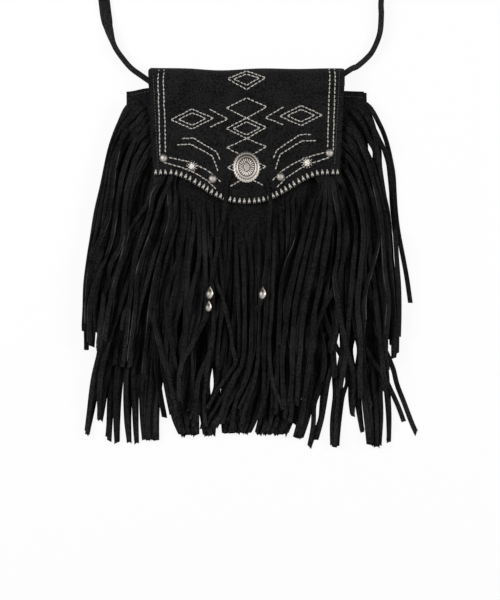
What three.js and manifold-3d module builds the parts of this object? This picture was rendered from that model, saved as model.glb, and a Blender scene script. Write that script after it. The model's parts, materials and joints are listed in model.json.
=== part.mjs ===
// Fringed suede shoulder bag, lying on its back with the flap closed.
// Millimetres, +Z up from the surface it lies on, +Y towards the strap, +X to the wearer's left.
// The origin is the middle of the pouch's back.

import * as THREE from 'three';
import { mergeVertices } from 'three/addons/utils/BufferGeometryUtils.js';
import Module from 'manifold-3d';

const wasm = await Module();
wasm.setup();

// Driving dimensions: suede and clearances
const suede = 1.8;                // panels and flap
const liningSuede = 1.2;          // facing under the flap
const strandSuede = 1.5;          // fringe strips
const touch = 0.3;                // gap between pieces that touch
const layerGap = 0.9;             // gap between layers of fringe, which follow the pouch in long facets

// Driving dimensions: pouch
const pouchWidth = 241;
const pouchHeight = 226;
const pouchCorner = 24;           // radius of the two lower corners
const mouthRise = 11;             // how far the front stands off the back at the mouth
const bellyRise = 16;             // the same at the fullest place
const bellyDrop = 100;            // fullest place, below the mouth
const bellySquareness = 2.4;      // exponent of the section across the pouch
const hemHeight = 11;             // hem turned in at the mouth
const seamFall = 26;              // run over which the fringe drops from the seam to the ground

// Driving dimensions: flap
const flapWidth = 197;            // at the fold
const flapTaper = 4;              // how much narrower each side is at the lower corners
const foldAboveMouth = 24;
const flapSideDrop = 107;         // fold to the lower side corners
const flapPointDrop = 139;        // fold to the lowest point of the ogee edge
const ogeeHalfWidth = 78;         // where the ogee runs out into the straight edge
const ogeeFullness = 1.2;
const creaseHeight = 5;           // height of the fold's crease, where the flap turns
const foldDepth = 22;             // from the crease to where the flap lies flat
const flapSettle = 46;            // run over which the flap settles onto the fringe
const facingInset = 5;
const facingGap = 0.6;            // between the flap and its facing, which follow each other in facets

// Driving dimensions: fringe strips
const strandWidth = 4.2;
const slitWidth = 0.6;
const upperLength = 245;
const upperHead = 8;              // height of the uncut head, the part that is sewn on
const upperHeadDrop = 4;          // top of the head, below the mouth
const upperGap = 64;              // bare middle between the two upper strips, where the snap closes
const upperInset = 22;            // outer end of each upper strip, in from the pouch's side
const middleLength = 200;
const middleSlitDrop = 123;       // ends of the slits, below the mouth
const middleTuck = 17;            // how far the head runs up under the flap's edge
const middleWidth = 160;
const lowerLength = 224;
const lowerHead = 18;
const lowerHeadDrop = 105;
const lowerInset = 3;

// Driving dimensions: metal trim
const trimTilt = THREE.MathUtils.degToRad(1.8);  // the hand-set trim sits slightly turned on the flap
const conchoWidth = 27.5;
const conchoLength = 30.8;
const conchoHeight = 4.2;
const conchoScallops = 24;
const conchoDrop = 99;            // below the fold
const studDiameter = 8.7;
const studHeight = 3.4;
const studPlaces = [{ across: 82.5, drop: 88 }, { across: 33.6, drop: 110.3 }];
const starDiameter = 11;
const starHeight = 2.2;
const starPoints = 12;
const starPlace = { across: 57, drop: 96 };
const trimSeat = 0.45;            // under the middle of each piece, on the curved flap
const snapDiameter = 14;
const snapLip = 18;
const snapClearance = 0.6;        // to the curved suede on each side

// Driving dimensions: laces, beads and strap
const laceDiameter = 2.6;
const beadDiameter = 8;
const beadLength = 12.6;
const beadClearance = 0.5;        // between the lace and a bead's bore, on the radius
const strapWidth = 12;
const strapThickness = 5;
const strapLead = 7;              // straight run out of the fold
const tabLength = 26;
const tabThickness = 2.4;

// Lines and planes that the sizes above give
const mouthY = pouchHeight / 2;
const bottomY = -pouchHeight / 2;
const foldY = mouthY + foldAboveMouth;
const flatY = foldY - foldDepth;
const seamTop = 2 * suede + touch;
const layer = layerGap + strandSuede;
const flapLift = 3 * layer + layerGap + liningSuede + facingGap;
const foldTop = seamTop + mouthRise + flapLift + suede;  // the flap's outside just past the fold

const smooth = (from, to, value) => THREE.MathUtils.smoothstep(value, from, to);
const mix = THREE.MathUtils.lerp;

// Pouch: half its width at a height y, and the height of its front over a point
function pouchHalfWidth(y) {
  const above = y - bottomY;
  if (above >= pouchCorner) return pouchWidth / 2;
  const rise = pouchCorner - Math.max(above, 0);
  return pouchWidth / 2 - pouchCorner + Math.sqrt(pouchCorner ** 2 - rise ** 2);
}

function crown(y) {
  const drop = mouthY - y;
  const quarter = Math.PI / 2;
  if (drop <= bellyDrop) return mix(mouthRise, bellyRise, Math.sin(quarter * Math.max(drop, 0) / bellyDrop));
  const below = Math.min((drop - bellyDrop) / (pouchHeight - bellyDrop), 1);
  return bellyRise * Math.cos(quarter * below);
}

function bulge(x, y) {
  const share = Math.min(Math.abs(x) / pouchHalfWidth(y), 1);
  return 1 - share ** bellySquareness;
}

const frontUnder = (x, y) => suede + touch + crown(y) * bulge(x, y);

// Height of what the fringe lies on: the pouch's front, then down past its seams to the ground
function lie(x, y) {
  const sideways = Math.max(Math.abs(x) - pouchHalfWidth(y), 0);
  const below = Math.max(bottomY - y, 0);
  const outside = Math.hypot(sideways, below);
  if (outside > 0) return seamTop * (1 - smooth(0, seamFall, outside));
  return frontUnder(x, y) + suede;
}

// Flap: half its width, its lower edge and the height of its underside past the fold
const flapHalfWidth = (y) => flapWidth / 2 - flapTaper * (foldY - y) / flapSideDrop;

function flapEdge(x) {
  const share = Math.min(Math.abs(x) / ogeeHalfWidth, 1);
  const swell = 0.5 + 0.5 * Math.cos(Math.PI * share ** ogeeFullness);
  return foldY - mix(flapSideDrop, flapPointDrop, swell);
}

function flapUnder(x, y) {
  const settled = smooth(0, flapSettle, flatY - y);
  return mix(foldTop - suede, lie(x, y) + flapLift, settled);
}

const flapTop = (x, y) => flapUnder(x, y) + suede;

// A closed solid from a list of corner points and quads, each quad running anticlockwise seen from outside
function solidFromQuads(points, quads) {
  const geometry = new THREE.BufferGeometry().setFromPoints(points);
  const index = quads.flatMap(([a, b, c, d]) => [a, b, c, a, c, d]);
  geometry.setIndex(index);
  geometry.computeVertexNormals();
  return geometry;
}

// A sheet with a thickness: place(u, v, side) gives its underside (side 0) and its outside (side 1)
function sheet(columns, rows, place) {
  const points = [];
  const at = (i, j, side) => (j * (columns + 1) + i) * 2 + side;
  for (let j = 0; j <= rows; j++) {
    for (let i = 0; i <= columns; i++) {
      points.push(place(i / columns, j / rows, 0), place(i / columns, j / rows, 1));
    }
  }
  const quads = [];
  for (let j = 0; j < rows; j++) {
    for (let i = 0; i < columns; i++) {
      quads.push([at(i, j, 1), at(i, j + 1, 1), at(i + 1, j + 1, 1), at(i + 1, j, 1)]);
      quads.push([at(i, j, 0), at(i + 1, j, 0), at(i + 1, j + 1, 0), at(i, j + 1, 0)]);
    }
    quads.push([at(0, j, 0), at(0, j + 1, 0), at(0, j + 1, 1), at(0, j, 1)]);
    quads.push([at(columns, j, 0), at(columns, j, 1), at(columns, j + 1, 1), at(columns, j + 1, 0)]);
  }
  for (let i = 0; i < columns; i++) {
    quads.push([at(i, 0, 0), at(i, 0, 1), at(i + 1, 0, 1), at(i + 1, 0, 0)]);
    quads.push([at(i, rows, 0), at(i + 1, rows, 0), at(i + 1, rows, 1), at(i, rows, 1)]);
  }
  return solidFromQuads(points, quads);
}

// A fringe strip: an uncut head along the top, slit below into strands.
// place(strand, edge, row, side) gives the corners; row 0 is the sewn edge and row 1 the ends of the slits.
function comb(strands, rows, place) {
  const points = [];
  const at = (strand, edge, row, side) => ((strand * 2 + edge) * (rows + 1) + row) * 2 + side;
  for (let strand = 0; strand < strands; strand++) {
    for (const edge of [0, 1]) {
      for (let row = 0; row <= rows; row++) {
        points.push(place(strand, edge, row, 0), place(strand, edge, row, 1));
      }
    }
  }
  const quads = [];
  const face = (left, right, row) => {
    quads.push([at(...left, row, 1), at(...left, row + 1, 1), at(...right, row + 1, 1), at(...right, row, 1)]);
    quads.push([at(...left, row, 0), at(...right, row, 0), at(...right, row + 1, 0), at(...left, row + 1, 0)]);
  };
  const end = (left, right, row) => {
    quads.push([at(...left, row, 0), at(...right, row, 0), at(...right, row, 1), at(...left, row, 1)]);
  };
  const topEnd = (left, right) => {
    quads.push([at(...left, 0, 0), at(...left, 0, 1), at(...right, 0, 1), at(...right, 0, 0)]);
  };
  const leftSide = (left, row) => {
    quads.push([at(...left, row, 0), at(...left, row + 1, 0), at(...left, row + 1, 1), at(...left, row, 1)]);
  };
  const rightSide = (right, row) => {
    quads.push([at(...right, row, 0), at(...right, row, 1), at(...right, row + 1, 1), at(...right, row + 1, 0)]);
  };
  for (let strand = 0; strand < strands; strand++) {
    const left = [strand, 0];
    const right = [strand, 1];
    topEnd(left, right);
    end(left, right, rows);
    for (let row = 0; row < rows; row++) {
      face(left, right, row);
      if (row > 0 || strand === 0) leftSide(left, row);
      if (row > 0 || strand === strands - 1) rightSide(right, row);
    }
    if (strand < strands - 1) {
      const next = [strand + 1, 0];
      face(right, next, 0);
      topEnd(right, next);
      end(right, next, 1);
    }
  }
  return solidFromQuads(points, quads);
}

// The route of one strand: it starts straight below its root and turns as it goes.
// Leans are degrees from straight down, positive to the right, at equal steps along the strand.
// The route is given where the strand has its sections, at shares of its length.
function strandRoute(root, length, leans, sections) {
  const lean = new THREE.CatmullRomCurve3(leans.map((value, i) => new THREE.Vector3(i, value, 0)));
  const strides = 100;
  const point = root.clone();
  const track = [];
  for (let i = 0; i <= strides; i++) {
    const angle = THREE.MathUtils.degToRad(lean.getPoint(i / strides).y);
    const heading = new THREE.Vector2(Math.sin(angle), -Math.cos(angle));
    track.push({ point: point.clone(), across: new THREE.Vector2(-heading.y, heading.x) });
    point.addScaledVector(heading, length / strides);
  }
  return sections.map((share) => track[Math.round(share * strides)]);
}

// A fringe strip on the pouch: its head from x = left to right, slit at slitY, its strands laid over the pouch.
// headTop(x) is the sewn edge, leansAt(share, strand) the leans of the strand at a share of the way across.
function fringeStrip({ left, right, headTop, slitY, length, level, sections, leansAt, ragged }) {
  const count = Math.floor((right - left) / (strandWidth + slitWidth));
  const pitch = (right - left) / count;
  const routes = [];
  for (let strand = 0; strand < count; strand++) {
    const root = new THREE.Vector2(left + pitch * (strand + 0.5), slitY);
    const cut = length * (1 - ragged * (0.5 + 0.5 * Math.sin(strand * 2.1)));
    routes.push(strandRoute(root, cut, leansAt((strand + 0.5) / count, strand), sections));
  }
  const under = level * layer + layerGap;
  return comb(count, sections.length, (strand, edge, row, side) => {
    const { point, across } = routes[strand][Math.max(row - 1, 0)];
    const reach = (edge - 0.5) * strandWidth;
    const x = point.x + reach * (row < 2 ? 1 : across.x);
    const y = row === 0 ? headTop(x) : point.y + reach * (row < 2 ? 0 : across.y);
    return new THREE.Vector3(x, y, lie(x, y) + under + side * strandSuede);
  });
}

// Booleans on closed meshes
function toManifold(geometry) {
  const bare = geometry.clone();
  bare.deleteAttribute('normal');
  bare.deleteAttribute('uv');
  const merged = mergeVertices(bare, 1e-4);
  const vertProperties = new Float32Array(merged.attributes.position.array);
  const triVerts = new Uint32Array(merged.index.array);
  return new wasm.Manifold(new wasm.Mesh({ numProp: 3, vertProperties, triVerts }));
}

function fromManifold(solid) {
  const { vertProperties, triVerts } = solid.getMesh();
  const geometry = new THREE.BufferGeometry();
  geometry.setAttribute('position', new THREE.BufferAttribute(vertProperties, 3));
  geometry.setIndex(new THREE.BufferAttribute(triVerts, 1));
  geometry.computeVertexNormals();
  return geometry;
}

// Pouch front: a domed sheet, its hem turned in along the mouth
function frontPanelGeometry() {
  const columns = 14;
  const rows = 11;
  const hemRow = 1 / rows;
  return sheet(columns, rows, (u, v, side) => {
    const y = v <= hemRow ? mouthY - hemHeight * v / hemRow
      : mix(mouthY - hemHeight, bottomY, (v - hemRow) / (1 - hemRow));
    const x = mix(-1, 1, u) * pouchHalfWidth(y);
    const hem = v === 0 ? suede * smooth(0, 0.4, bulge(x, y)) : 0;
    return new THREE.Vector3(x, y, frontUnder(x, y) + side * suede - (1 - side) * hem);
  });
}

// Pouch back: a flat panel with round lower corners, cut in one with the neck that turns up at the fold
function backPanelGeometry() {
  const half = pouchWidth / 2;
  const panel = new THREE.Shape();
  panel.moveTo(-half, mouthY);
  panel.lineTo(-half, bottomY + pouchCorner);
  panel.absarc(-half + pouchCorner, bottomY + pouchCorner, pouchCorner, Math.PI, Math.PI * 1.5);
  panel.lineTo(half - pouchCorner, bottomY);
  panel.absarc(half - pouchCorner, bottomY + pouchCorner, pouchCorner, Math.PI * 1.5, Math.PI * 2);
  panel.lineTo(half, mouthY);
  const flat = new THREE.ExtrudeGeometry(panel, { depth: suede, bevelEnabled: false, curveSegments: 8 });
  const overlap = 2;
  const lip = new THREE.Shape();
  lip.moveTo(mouthY - overlap, 0);
  lip.absarc(foldY - creaseHeight, creaseHeight, creaseHeight, -Math.PI / 2, 0);
  lip.absarc(foldY - creaseHeight, creaseHeight, creaseHeight - suede, 0, -Math.PI / 2, true);
  lip.lineTo(mouthY - overlap, suede);
  const neck = new THREE.ExtrudeGeometry(lip, { depth: flapWidth, bevelEnabled: false, curveSegments: 6 });
  neck.applyMatrix4(new THREE.Matrix4().makeBasis(
    new THREE.Vector3(0, 1, 0), new THREE.Vector3(0, 0, 1), new THREE.Vector3(1, 0, 0)));
  neck.translate(-flapWidth / 2, 0, 0);
  return fromManifold(toManifold(flat).add(toManifold(neck)));
}

// Flap past its crease: a quarter turn up and over, then a leaf with an ogee lower edge
function flapOuterGeometry() {
  const columns = 16;
  const turnRows = 4;
  const leafRows = 8;
  const turnShare = turnRows / (turnRows + leafRows);
  const crease = creaseHeight + touch;
  return sheet(columns, turnRows + leafRows, (u, v, side) => {
    const inward = (1 - side) * suede;
    if (v < turnShare) {
      const turn = v / turnShare * Math.PI / 2;
      const y = flatY + (foldDepth - inward) * Math.cos(turn);
      const z = crease + (foldTop - crease - inward) * Math.sin(turn);
      return new THREE.Vector3(mix(-1, 1, u) * flapHalfWidth(y), y, z);
    }
    const down = (v - turnShare) / (1 - turnShare);
    const edgeX = mix(-1, 1, u) * flapHalfWidth(foldY - flapSideDrop);
    const y = mix(flatY, flapEdge(edgeX), down);
    const x = mix(-1, 1, u) * flapHalfWidth(y);
    return new THREE.Vector3(x, y, flapTop(x, y) - inward);
  });
}

// Facing under the flap, set in from its edges
function flapFacingGeometry() {
  const columns = 10;
  const rows = 6;
  return sheet(columns, rows, (u, v, side) => {
    const edgeX = mix(-1, 1, u) * (flapHalfWidth(foldY - flapSideDrop) - facingInset);
    const y = mix(flatY, flapEdge(edgeX) + facingInset, v);
    const x = mix(-1, 1, u) * (flapHalfWidth(y) - facingInset);
    return new THREE.Vector3(x, y, flapUnder(x, y) - facingGap - (1 - side) * liningSuede);
  });
}

// Leans of the fringe: the upper strips fan out sideways, the others fall nearly straight and spread at the sides
const upperOuter = [60, 29, 13, 6, 2];
const upperInner = [32, 26, 12, 6, 2];
const spread = [9, 12, 13, 13, 12];

// Neighbouring strands sway together, more towards their tips
function sway(strand, amount) {
  return spread.map((value, step) => amount * step * Math.sin(strand * 0.55 + step * 0.8));
}

function upperLeans(side) {
  return (share, strand) => {
    const inward = side < 0 ? share : 1 - share;
    const drift = sway(strand, 0.4);
    return upperOuter.map((value, i) => side * mix(value, upperInner[i], inward) + drift[i]);
  };
}

function fallLeans(amount, swayAmount) {
  return (share, strand) => {
    const across = (share * 2 - 1) ** 3 * amount;
    const drift = sway(strand, swayAmount);
    return spread.map((value, i) => value * across + drift[i]);
  };
}

const upperStrip = {
  headTop: () => mouthY - upperHeadDrop, slitY: mouthY - upperHeadDrop - upperHead, length: upperLength,
  level: 2, sections: [0, 0.08, 0.18, 0.32, 0.5, 0.74, 1], ragged: 0.06,
};
const upperLeft = {
  ...upperStrip, left: -pouchWidth / 2 + upperInset, right: -upperGap / 2, leansAt: upperLeans(-1),
};
const upperRight = {
  ...upperStrip, left: upperGap / 2, right: pouchWidth / 2 - upperInset, leansAt: upperLeans(1),
};
const middleStrip = {
  headTop: (x) => flapEdge(x) + middleTuck, slitY: mouthY - middleSlitDrop, length: middleLength, level: 1,
  sections: [0, 0.18, 0.36, 0.56, 0.76, 1], ragged: 0.04,
  left: -middleWidth / 2, right: middleWidth / 2, leansAt: fallLeans(0.6, 0.1),
};
const lowerStrip = {
  headTop: () => mouthY - lowerHeadDrop, slitY: mouthY - lowerHeadDrop - lowerHead, length: lowerLength, level: 0,
  sections: [0, 0.14, 0.28, 0.42, 0.58, 1], ragged: 0.05,
  left: -pouchWidth / 2 + lowerInset, right: pouchWidth / 2 - lowerInset, leansAt: fallLeans(1, 0.1),
};

// Metal trim: where a piece of a given radius sits on the flap, turned to lie along its slope
function onFlap(across, drop, radius) {
  const y = foldY - drop + across * Math.tan(trimTilt);
  const slopeX = (flapTop(across + radius, y) - flapTop(across - radius, y)) / (2 * radius);
  const slopeY = (flapTop(across, y + radius) - flapTop(across, y - radius)) / (2 * radius);
  const up = new THREE.Vector3(-slopeX, -slopeY, 1).normalize();
  const position = new THREE.Vector3(across, y, flapTop(across, y)).addScaledVector(up, trimSeat);
  const quaternion = new THREE.Quaternion().setFromUnitVectors(new THREE.Vector3(0, 0, 1), up);
  return { position, quaternion };
}

// Concho: a turned dish with a raised ring, stretched to an oval, its rim waved into scallops
function conchoGeometry() {
  const radius = conchoLength / 2;
  const profile = [
    [0, 0], [0.97, 0], [1, 0.16], [0.9, 0.42], [0.78, 0.34], [0.62, 0.66], [0.34, 0.9], [0, 1],
  ].map(([r, z]) => new THREE.Vector2(r * radius, z * conchoHeight));
  const geometry = new THREE.LatheGeometry(profile, conchoScallops * 2);
  geometry.rotateX(Math.PI / 2);
  const position = geometry.attributes.position;
  const scallop = 0.035;
  for (let i = 0; i < position.count; i++) {
    const x = position.getX(i);
    const y = position.getY(i);
    const rim = smooth(0.7 * radius, 0.97 * radius, Math.hypot(x, y));
    const wave = 1 + scallop * rim * Math.cos(conchoScallops * Math.atan2(y, x)) - scallop * rim;
    position.setXY(i, x * wave * conchoWidth / conchoLength, y * wave);
  }
  return mergeVertices(bareSolid(geometry), 1e-4);
}

// A turned solid: its profile runs from the axis at the base to the axis at the top
function turned(profile, segments) {
  const geometry = new THREE.LatheGeometry(profile.map(([r, z]) => new THREE.Vector2(r, z)), segments);
  geometry.rotateX(Math.PI / 2);
  return mergeVertices(bareSolid(geometry), 1e-4);
}

function bareSolid(geometry) {
  geometry.deleteAttribute('normal');
  geometry.deleteAttribute('uv');
  return geometry;
}

function domeStudGeometry() {
  const r = studDiameter / 2;
  return turned([[0, 0], [r, 0], [r, 0.22 * studHeight], [0.82 * r, 0.66 * studHeight],
    [0.46 * r, 0.93 * studHeight], [0, studHeight]], 12);
}

// Star stud: a pointed outline raised to a bevelled top
function starStudGeometry() {
  const outer = starDiameter / 2;
  const bevel = 0.9;
  const star = new THREE.Shape();
  for (let i = 0; i < starPoints * 2; i++) {
    const angle = i * Math.PI / starPoints;
    const r = (i % 2 ? 0.74 : 1) * outer - bevel;
    if (i === 0) star.moveTo(r, 0);
    else star.lineTo(r * Math.cos(angle), r * Math.sin(angle));
  }
  const geometry = new THREE.ExtrudeGeometry(star, {
    depth: starHeight - bevel, bevelEnabled: true, bevelThickness: bevel, bevelSize: bevel, bevelSegments: 1,
  });
  const base = new THREE.BoxGeometry(4 * outer, 4 * outer, 4 * bevel);
  base.translate(0, 0, -2 * bevel);
  return fromManifold(toManifold(geometry).subtract(toManifold(base)));
}

// Magnetic snap: two lipped discs that share the space between the pouch's front and the flap's facing
const snapSpace = flapLift - facingGap - liningSuede;
const snapHeight = (snapSpace - 2 * snapClearance - touch) / 2;

function snapGeometry() {
  return turned([[0, 0], [snapLip / 2, 0], [snapLip / 2, 0.3 * snapHeight], [snapDiameter / 2, 0.45 * snapHeight],
    [snapDiameter / 2, snapHeight], [0, snapHeight]], 12);
}

// Laces and strap: plain eight-sided sections carried along hand-chosen routes
const cordSides = 8;

function cordSection(width, height) {
  const corners = [];
  const half = Math.min(width, height) / 2;
  for (let i = 0; i < cordSides; i++) {
    const angle = (i + 0.5) * 2 * Math.PI / cordSides;
    const x = half * Math.cos(angle) + Math.sign(Math.cos(angle)) * (width / 2 - half);
    const y = half * Math.sin(angle) + Math.sign(Math.sin(angle)) * (height / 2 - half);
    corners.push(new THREE.Vector2(x, y));
  }
  return new THREE.Shape(corners);
}

function cordGeometry(section, points, steps) {
  const path = new THREE.CatmullRomCurve3(points, false, 'centripetal');
  return new THREE.ExtrudeGeometry(section, { steps, bevelEnabled: false, extrudePath: path });
}

const laceRadius = laceDiameter / 2;
const fringeTop = (x, y) => lie(x, y) + 2 * layer + layerGap;
const laceOnFlap = ([x, y]) => new THREE.Vector3(x, y, flapTop(x, y) + touch + laceRadius);
const beadOnFringe = ([x, y]) => new THREE.Vector3(x, y, fringeTop(x, y) + touch + beadDiameter / 2);

const laceLeftOnFlap = [[-15, 31], [-18.5, 25], [-20.5, 14], [-21, 5]];
const laceLeftFall = [[-21.6, -6], [-25, -22], [-29, -42], [-33, -62]];
const laceLeftBeads = [[-37, -80], [-37.6, -86.5], [-39, -101], [-40, -112]];
const laceRightOnFlap = [[15.5, 31], [19.5, 22], [22.4, 12], [23.4, 5]];
const laceRightFall = [[23.4, -6], [22.6, -22], [21, -42], [19.4, -62]];
const laceRightBeads = [[17, -78], [16, -86.5], [14.6, -98]];

function lacePoints(onFlap, fall, beads) {
  const hang = fall.map(([x, y], i) => {
    const low = fringeTop(x, y) + touch + laceRadius;
    const edge = flapTop(...onFlap.at(-1)) + touch + laceRadius;
    return new THREE.Vector3(x, y, i === 0 ? edge : Math.max(low, mix(edge, low, 0.6)) + touch);
  });
  return [...onFlap.map(laceOnFlap), ...hang, ...beads.map(beadOnFringe)];
}

// A teardrop bead, bored for the lace, laid along the route between two points
function beadGeometry() {
  const r = beadDiameter / 2;
  const bore = laceRadius + beadClearance;
  const half = beadLength / 2;
  const profile = [[bore, -half], [0.62 * r, -0.93 * half], [r, -0.45 * half], [0.94 * r, 0],
    [0.66 * r, 0.6 * half], [bore + 0.5, half], [bore, half], [bore, -half]];
  return turned(profile, 10);
}

function beadAt(points, middle) {
  const path = new THREE.CatmullRomCurve3(points, false, 'centripetal');
  const lengths = path.getLengths(400);
  let best = 0;
  for (let i = 0; i < lengths.length; i++) {
    const here = path.getPoint(i / 400);
    if (here.distanceTo(middle) < path.getPoint(best).distanceTo(middle)) best = i / 400;
  }
  const along = path.getTangent(best).negate();
  const turn = new THREE.Quaternion().setFromUnitVectors(new THREE.Vector3(0, 0, 1), along);
  return { position: path.getPoint(best), quaternion: turn };
}

const laceLeft = lacePoints(laceLeftOnFlap, laceLeftFall, laceLeftBeads);
const laceRight = lacePoints(laceRightOnFlap, laceRightFall, laceRightBeads);

// Strap: on edge, out of the fold at each side, round a loose loop on the ground
const strapExit = flapWidth / 2 + touch;
const strapExitY = foldY - foldDepth / 2;
const strapRoute = [
  [-115.6, 137.3], [-123.6, 146.4], [-131.6, 158], [-136.8, 172], [-140.6, 187.5], [-142.9, 205],
  [-147, 240], [-151, 280], [-152, 320], [-147, 362], [-133, 404], [-108, 441], [-72, 469], [-28, 485],
  [20, 487], [65, 475], [102, 450], [128, 415], [141, 375], [145, 330], [143, 285], [139, 240],
  [134.9, 205], [135, 191], [133.4, 172], [126.8, 155.5], [120, 147], [110.6, 139],
];

function strapGeometry() {
  const ground = touch + strapWidth / 2;
  const exitHeight = suede + touch + strapWidth / 2;
  const points = strapRoute.map(([x, y]) => new THREE.Vector3(x, y, ground));
  for (const out of [strapLead, 0]) {
    points.unshift(new THREE.Vector3(-strapExit - out, strapExitY, exitHeight));
    points.push(new THREE.Vector3(strapExit + out, strapExitY, exitHeight));
  }
  return cordGeometry(cordSection(strapWidth, strapThickness), points, 44);
}

// Sewn end of the strap, flat on the neck inside the fold
function strapTabGeometry() {
  const half = strapWidth / 2;
  const tab = new THREE.Shape();
  tab.moveTo(0, -half);
  tab.lineTo(tabLength - half, -half);
  tab.absarc(tabLength - half, 0, half, -Math.PI / 2, Math.PI / 2);
  tab.lineTo(0, half);
  return new THREE.ExtrudeGeometry(tab, { depth: tabThickness, bevelEnabled: false, curveSegments: 6 });
}

// Finishes
const blackSuede = new THREE.MeshStandardMaterial({ color: '#242225', roughness: 0.95, metalness: 0 });
const fringeSuede = new THREE.MeshStandardMaterial({ color: '#2a282a', roughness: 0.95, metalness: 0 });
const antiqueSilver = new THREE.MeshStandardMaterial({ color: '#a9a8a4', roughness: 0.35, metalness: 1 });
const brightSilver = new THREE.MeshStandardMaterial({ color: '#dcdcda', roughness: 0.2, metalness: 1 });
const nickel = new THREE.MeshStandardMaterial({ color: '#b9b7b0', roughness: 0.3, metalness: 1 });

const bag = new THREE.Group();
const flap = new THREE.Group();
bag.add(flap);

function addPiece(parent, name, geometry, material, place = {}) {
  const mesh = new THREE.Mesh(geometry, material);
  mesh.name = name;
  if (place.position) mesh.position.copy(place.position);
  if (place.quaternion) mesh.quaternion.copy(place.quaternion);
  parent.add(mesh);
  return mesh;
}

addPiece(bag, 'back_panel', backPanelGeometry(), blackSuede);
addPiece(bag, 'front_panel', frontPanelGeometry(), blackSuede);
addPiece(bag, 'fringe_lower', fringeStrip(lowerStrip), fringeSuede);
addPiece(bag, 'fringe_middle', fringeStrip(middleStrip), fringeSuede);
addPiece(bag, 'fringe_upper_left', fringeStrip(upperLeft), fringeSuede);
addPiece(bag, 'fringe_upper_right', fringeStrip(upperRight), fringeSuede);

const snapPlace = new THREE.Vector3(0, foldY - conchoDrop, 0);
const snapBase = lie(snapPlace.x, snapPlace.y) + snapClearance;
addPiece(bag, 'snap_stud', snapGeometry(), nickel, { position: snapPlace.clone().setZ(snapBase) });
addPiece(flap, 'snap_socket', snapGeometry(), nickel, {
  position: snapPlace.clone().setZ(snapBase + 2 * snapHeight + touch),
  quaternion: new THREE.Quaternion().setFromAxisAngle(new THREE.Vector3(1, 0, 0), Math.PI),
});

addPiece(flap, 'flap_outer', flapOuterGeometry(), blackSuede);
addPiece(flap, 'flap_facing', flapFacingGeometry(), blackSuede);
addPiece(flap, 'concho', conchoGeometry(), antiqueSilver, onFlap(0, conchoDrop, conchoWidth / 2));

for (const [side, sign] of [['left', -1], ['right', 1]]) {
  for (const [row, { across, drop }] of studPlaces.entries()) {
    const name = `dome_stud_${side}_${row ? 'lower' : 'upper'}`;
    addPiece(flap, name, domeStudGeometry(), brightSilver, onFlap(sign * across, drop, studDiameter / 2));
  }
  const star = onFlap(sign * starPlace.across, starPlace.drop, starDiameter / 2);
  addPiece(flap, `star_stud_${side}`, starStudGeometry(), brightSilver, star);
  const tabPlace = new THREE.Vector3(sign * (strapExit - touch), strapExitY, suede + touch);
  const inward = new THREE.Quaternion().setFromAxisAngle(new THREE.Vector3(0, 0, 1), sign > 0 ? Math.PI : 0);
  addPiece(bag, `strap_tab_${side}`, strapTabGeometry(), blackSuede, { position: tabPlace, quaternion: inward });
}

addPiece(flap, 'thong_left', cordGeometry(cordSection(laceDiameter, laceDiameter), laceLeft, 18), blackSuede);
addPiece(flap, 'thong_right', cordGeometry(cordSection(laceDiameter, laceDiameter), laceRight, 17), blackSuede);
addPiece(flap, 'bead_left_upper', beadGeometry(), antiqueSilver, beadAt(laceLeft, beadOnFringe([-37.8, -88])));
addPiece(flap, 'bead_left_lower', beadGeometry(), antiqueSilver, beadAt(laceLeft, beadOnFringe([-39.1, -102])));
addPiece(flap, 'bead_right', beadGeometry(), antiqueSilver, beadAt(laceRight, beadOnFringe([15.8, -88])));
addPiece(bag, 'strap', strapGeometry(), blackSuede);

export default bag;
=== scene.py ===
"""Fringed suede bag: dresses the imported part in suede, thread and silver.

Laid out as a Blender add-on and run as a script. Lengths are millimetres unless a name says otherwise.
"""

import functools
import json

import bpy
import numpy as np
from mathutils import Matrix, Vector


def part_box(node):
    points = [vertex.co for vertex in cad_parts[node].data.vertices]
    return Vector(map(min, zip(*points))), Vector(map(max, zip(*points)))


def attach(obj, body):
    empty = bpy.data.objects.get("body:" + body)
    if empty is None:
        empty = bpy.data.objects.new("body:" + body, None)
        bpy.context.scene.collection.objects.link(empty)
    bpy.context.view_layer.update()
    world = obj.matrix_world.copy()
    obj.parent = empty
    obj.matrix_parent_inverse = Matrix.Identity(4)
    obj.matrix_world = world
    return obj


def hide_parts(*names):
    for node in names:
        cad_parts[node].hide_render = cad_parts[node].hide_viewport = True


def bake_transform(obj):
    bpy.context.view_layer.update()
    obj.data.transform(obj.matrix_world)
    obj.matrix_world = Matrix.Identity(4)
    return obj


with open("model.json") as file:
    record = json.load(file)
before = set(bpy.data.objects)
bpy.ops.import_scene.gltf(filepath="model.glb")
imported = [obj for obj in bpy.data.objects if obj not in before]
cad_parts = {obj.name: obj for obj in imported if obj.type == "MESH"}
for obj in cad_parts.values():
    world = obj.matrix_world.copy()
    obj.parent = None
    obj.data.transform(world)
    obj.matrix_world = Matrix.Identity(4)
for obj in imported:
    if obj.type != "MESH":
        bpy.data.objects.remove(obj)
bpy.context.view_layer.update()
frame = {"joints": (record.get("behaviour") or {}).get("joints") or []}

bl_info = {
    "name": "Fringed suede bag",
    "version": (1, 0, 0),
    "blender": (4, 5, 0),
    "location": "3D View > Sidebar > Bag",
    "description": "Builds the suede, fringe, embroidery and silver of a fringed shoulder bag",
    "category": "Object",
}

MM = 0.001


def node_box(node):
    """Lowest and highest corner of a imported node."""
    return [np.array(corner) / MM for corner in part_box(node)]


# Lines of the pouch and the flap, from the frame
FRONT_LOW, FRONT_HIGH = node_box("front_panel")
POUCH_HALF = FRONT_HIGH[0]
MOUTH_Y = FRONT_HIGH[1]
BOTTOM_Y = FRONT_LOW[1]
FOLD_Y = frame["joints"][0]["pos_m"][1] / MM
FLAP_HALF = node_box("flap_outer")[1][0]

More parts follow.
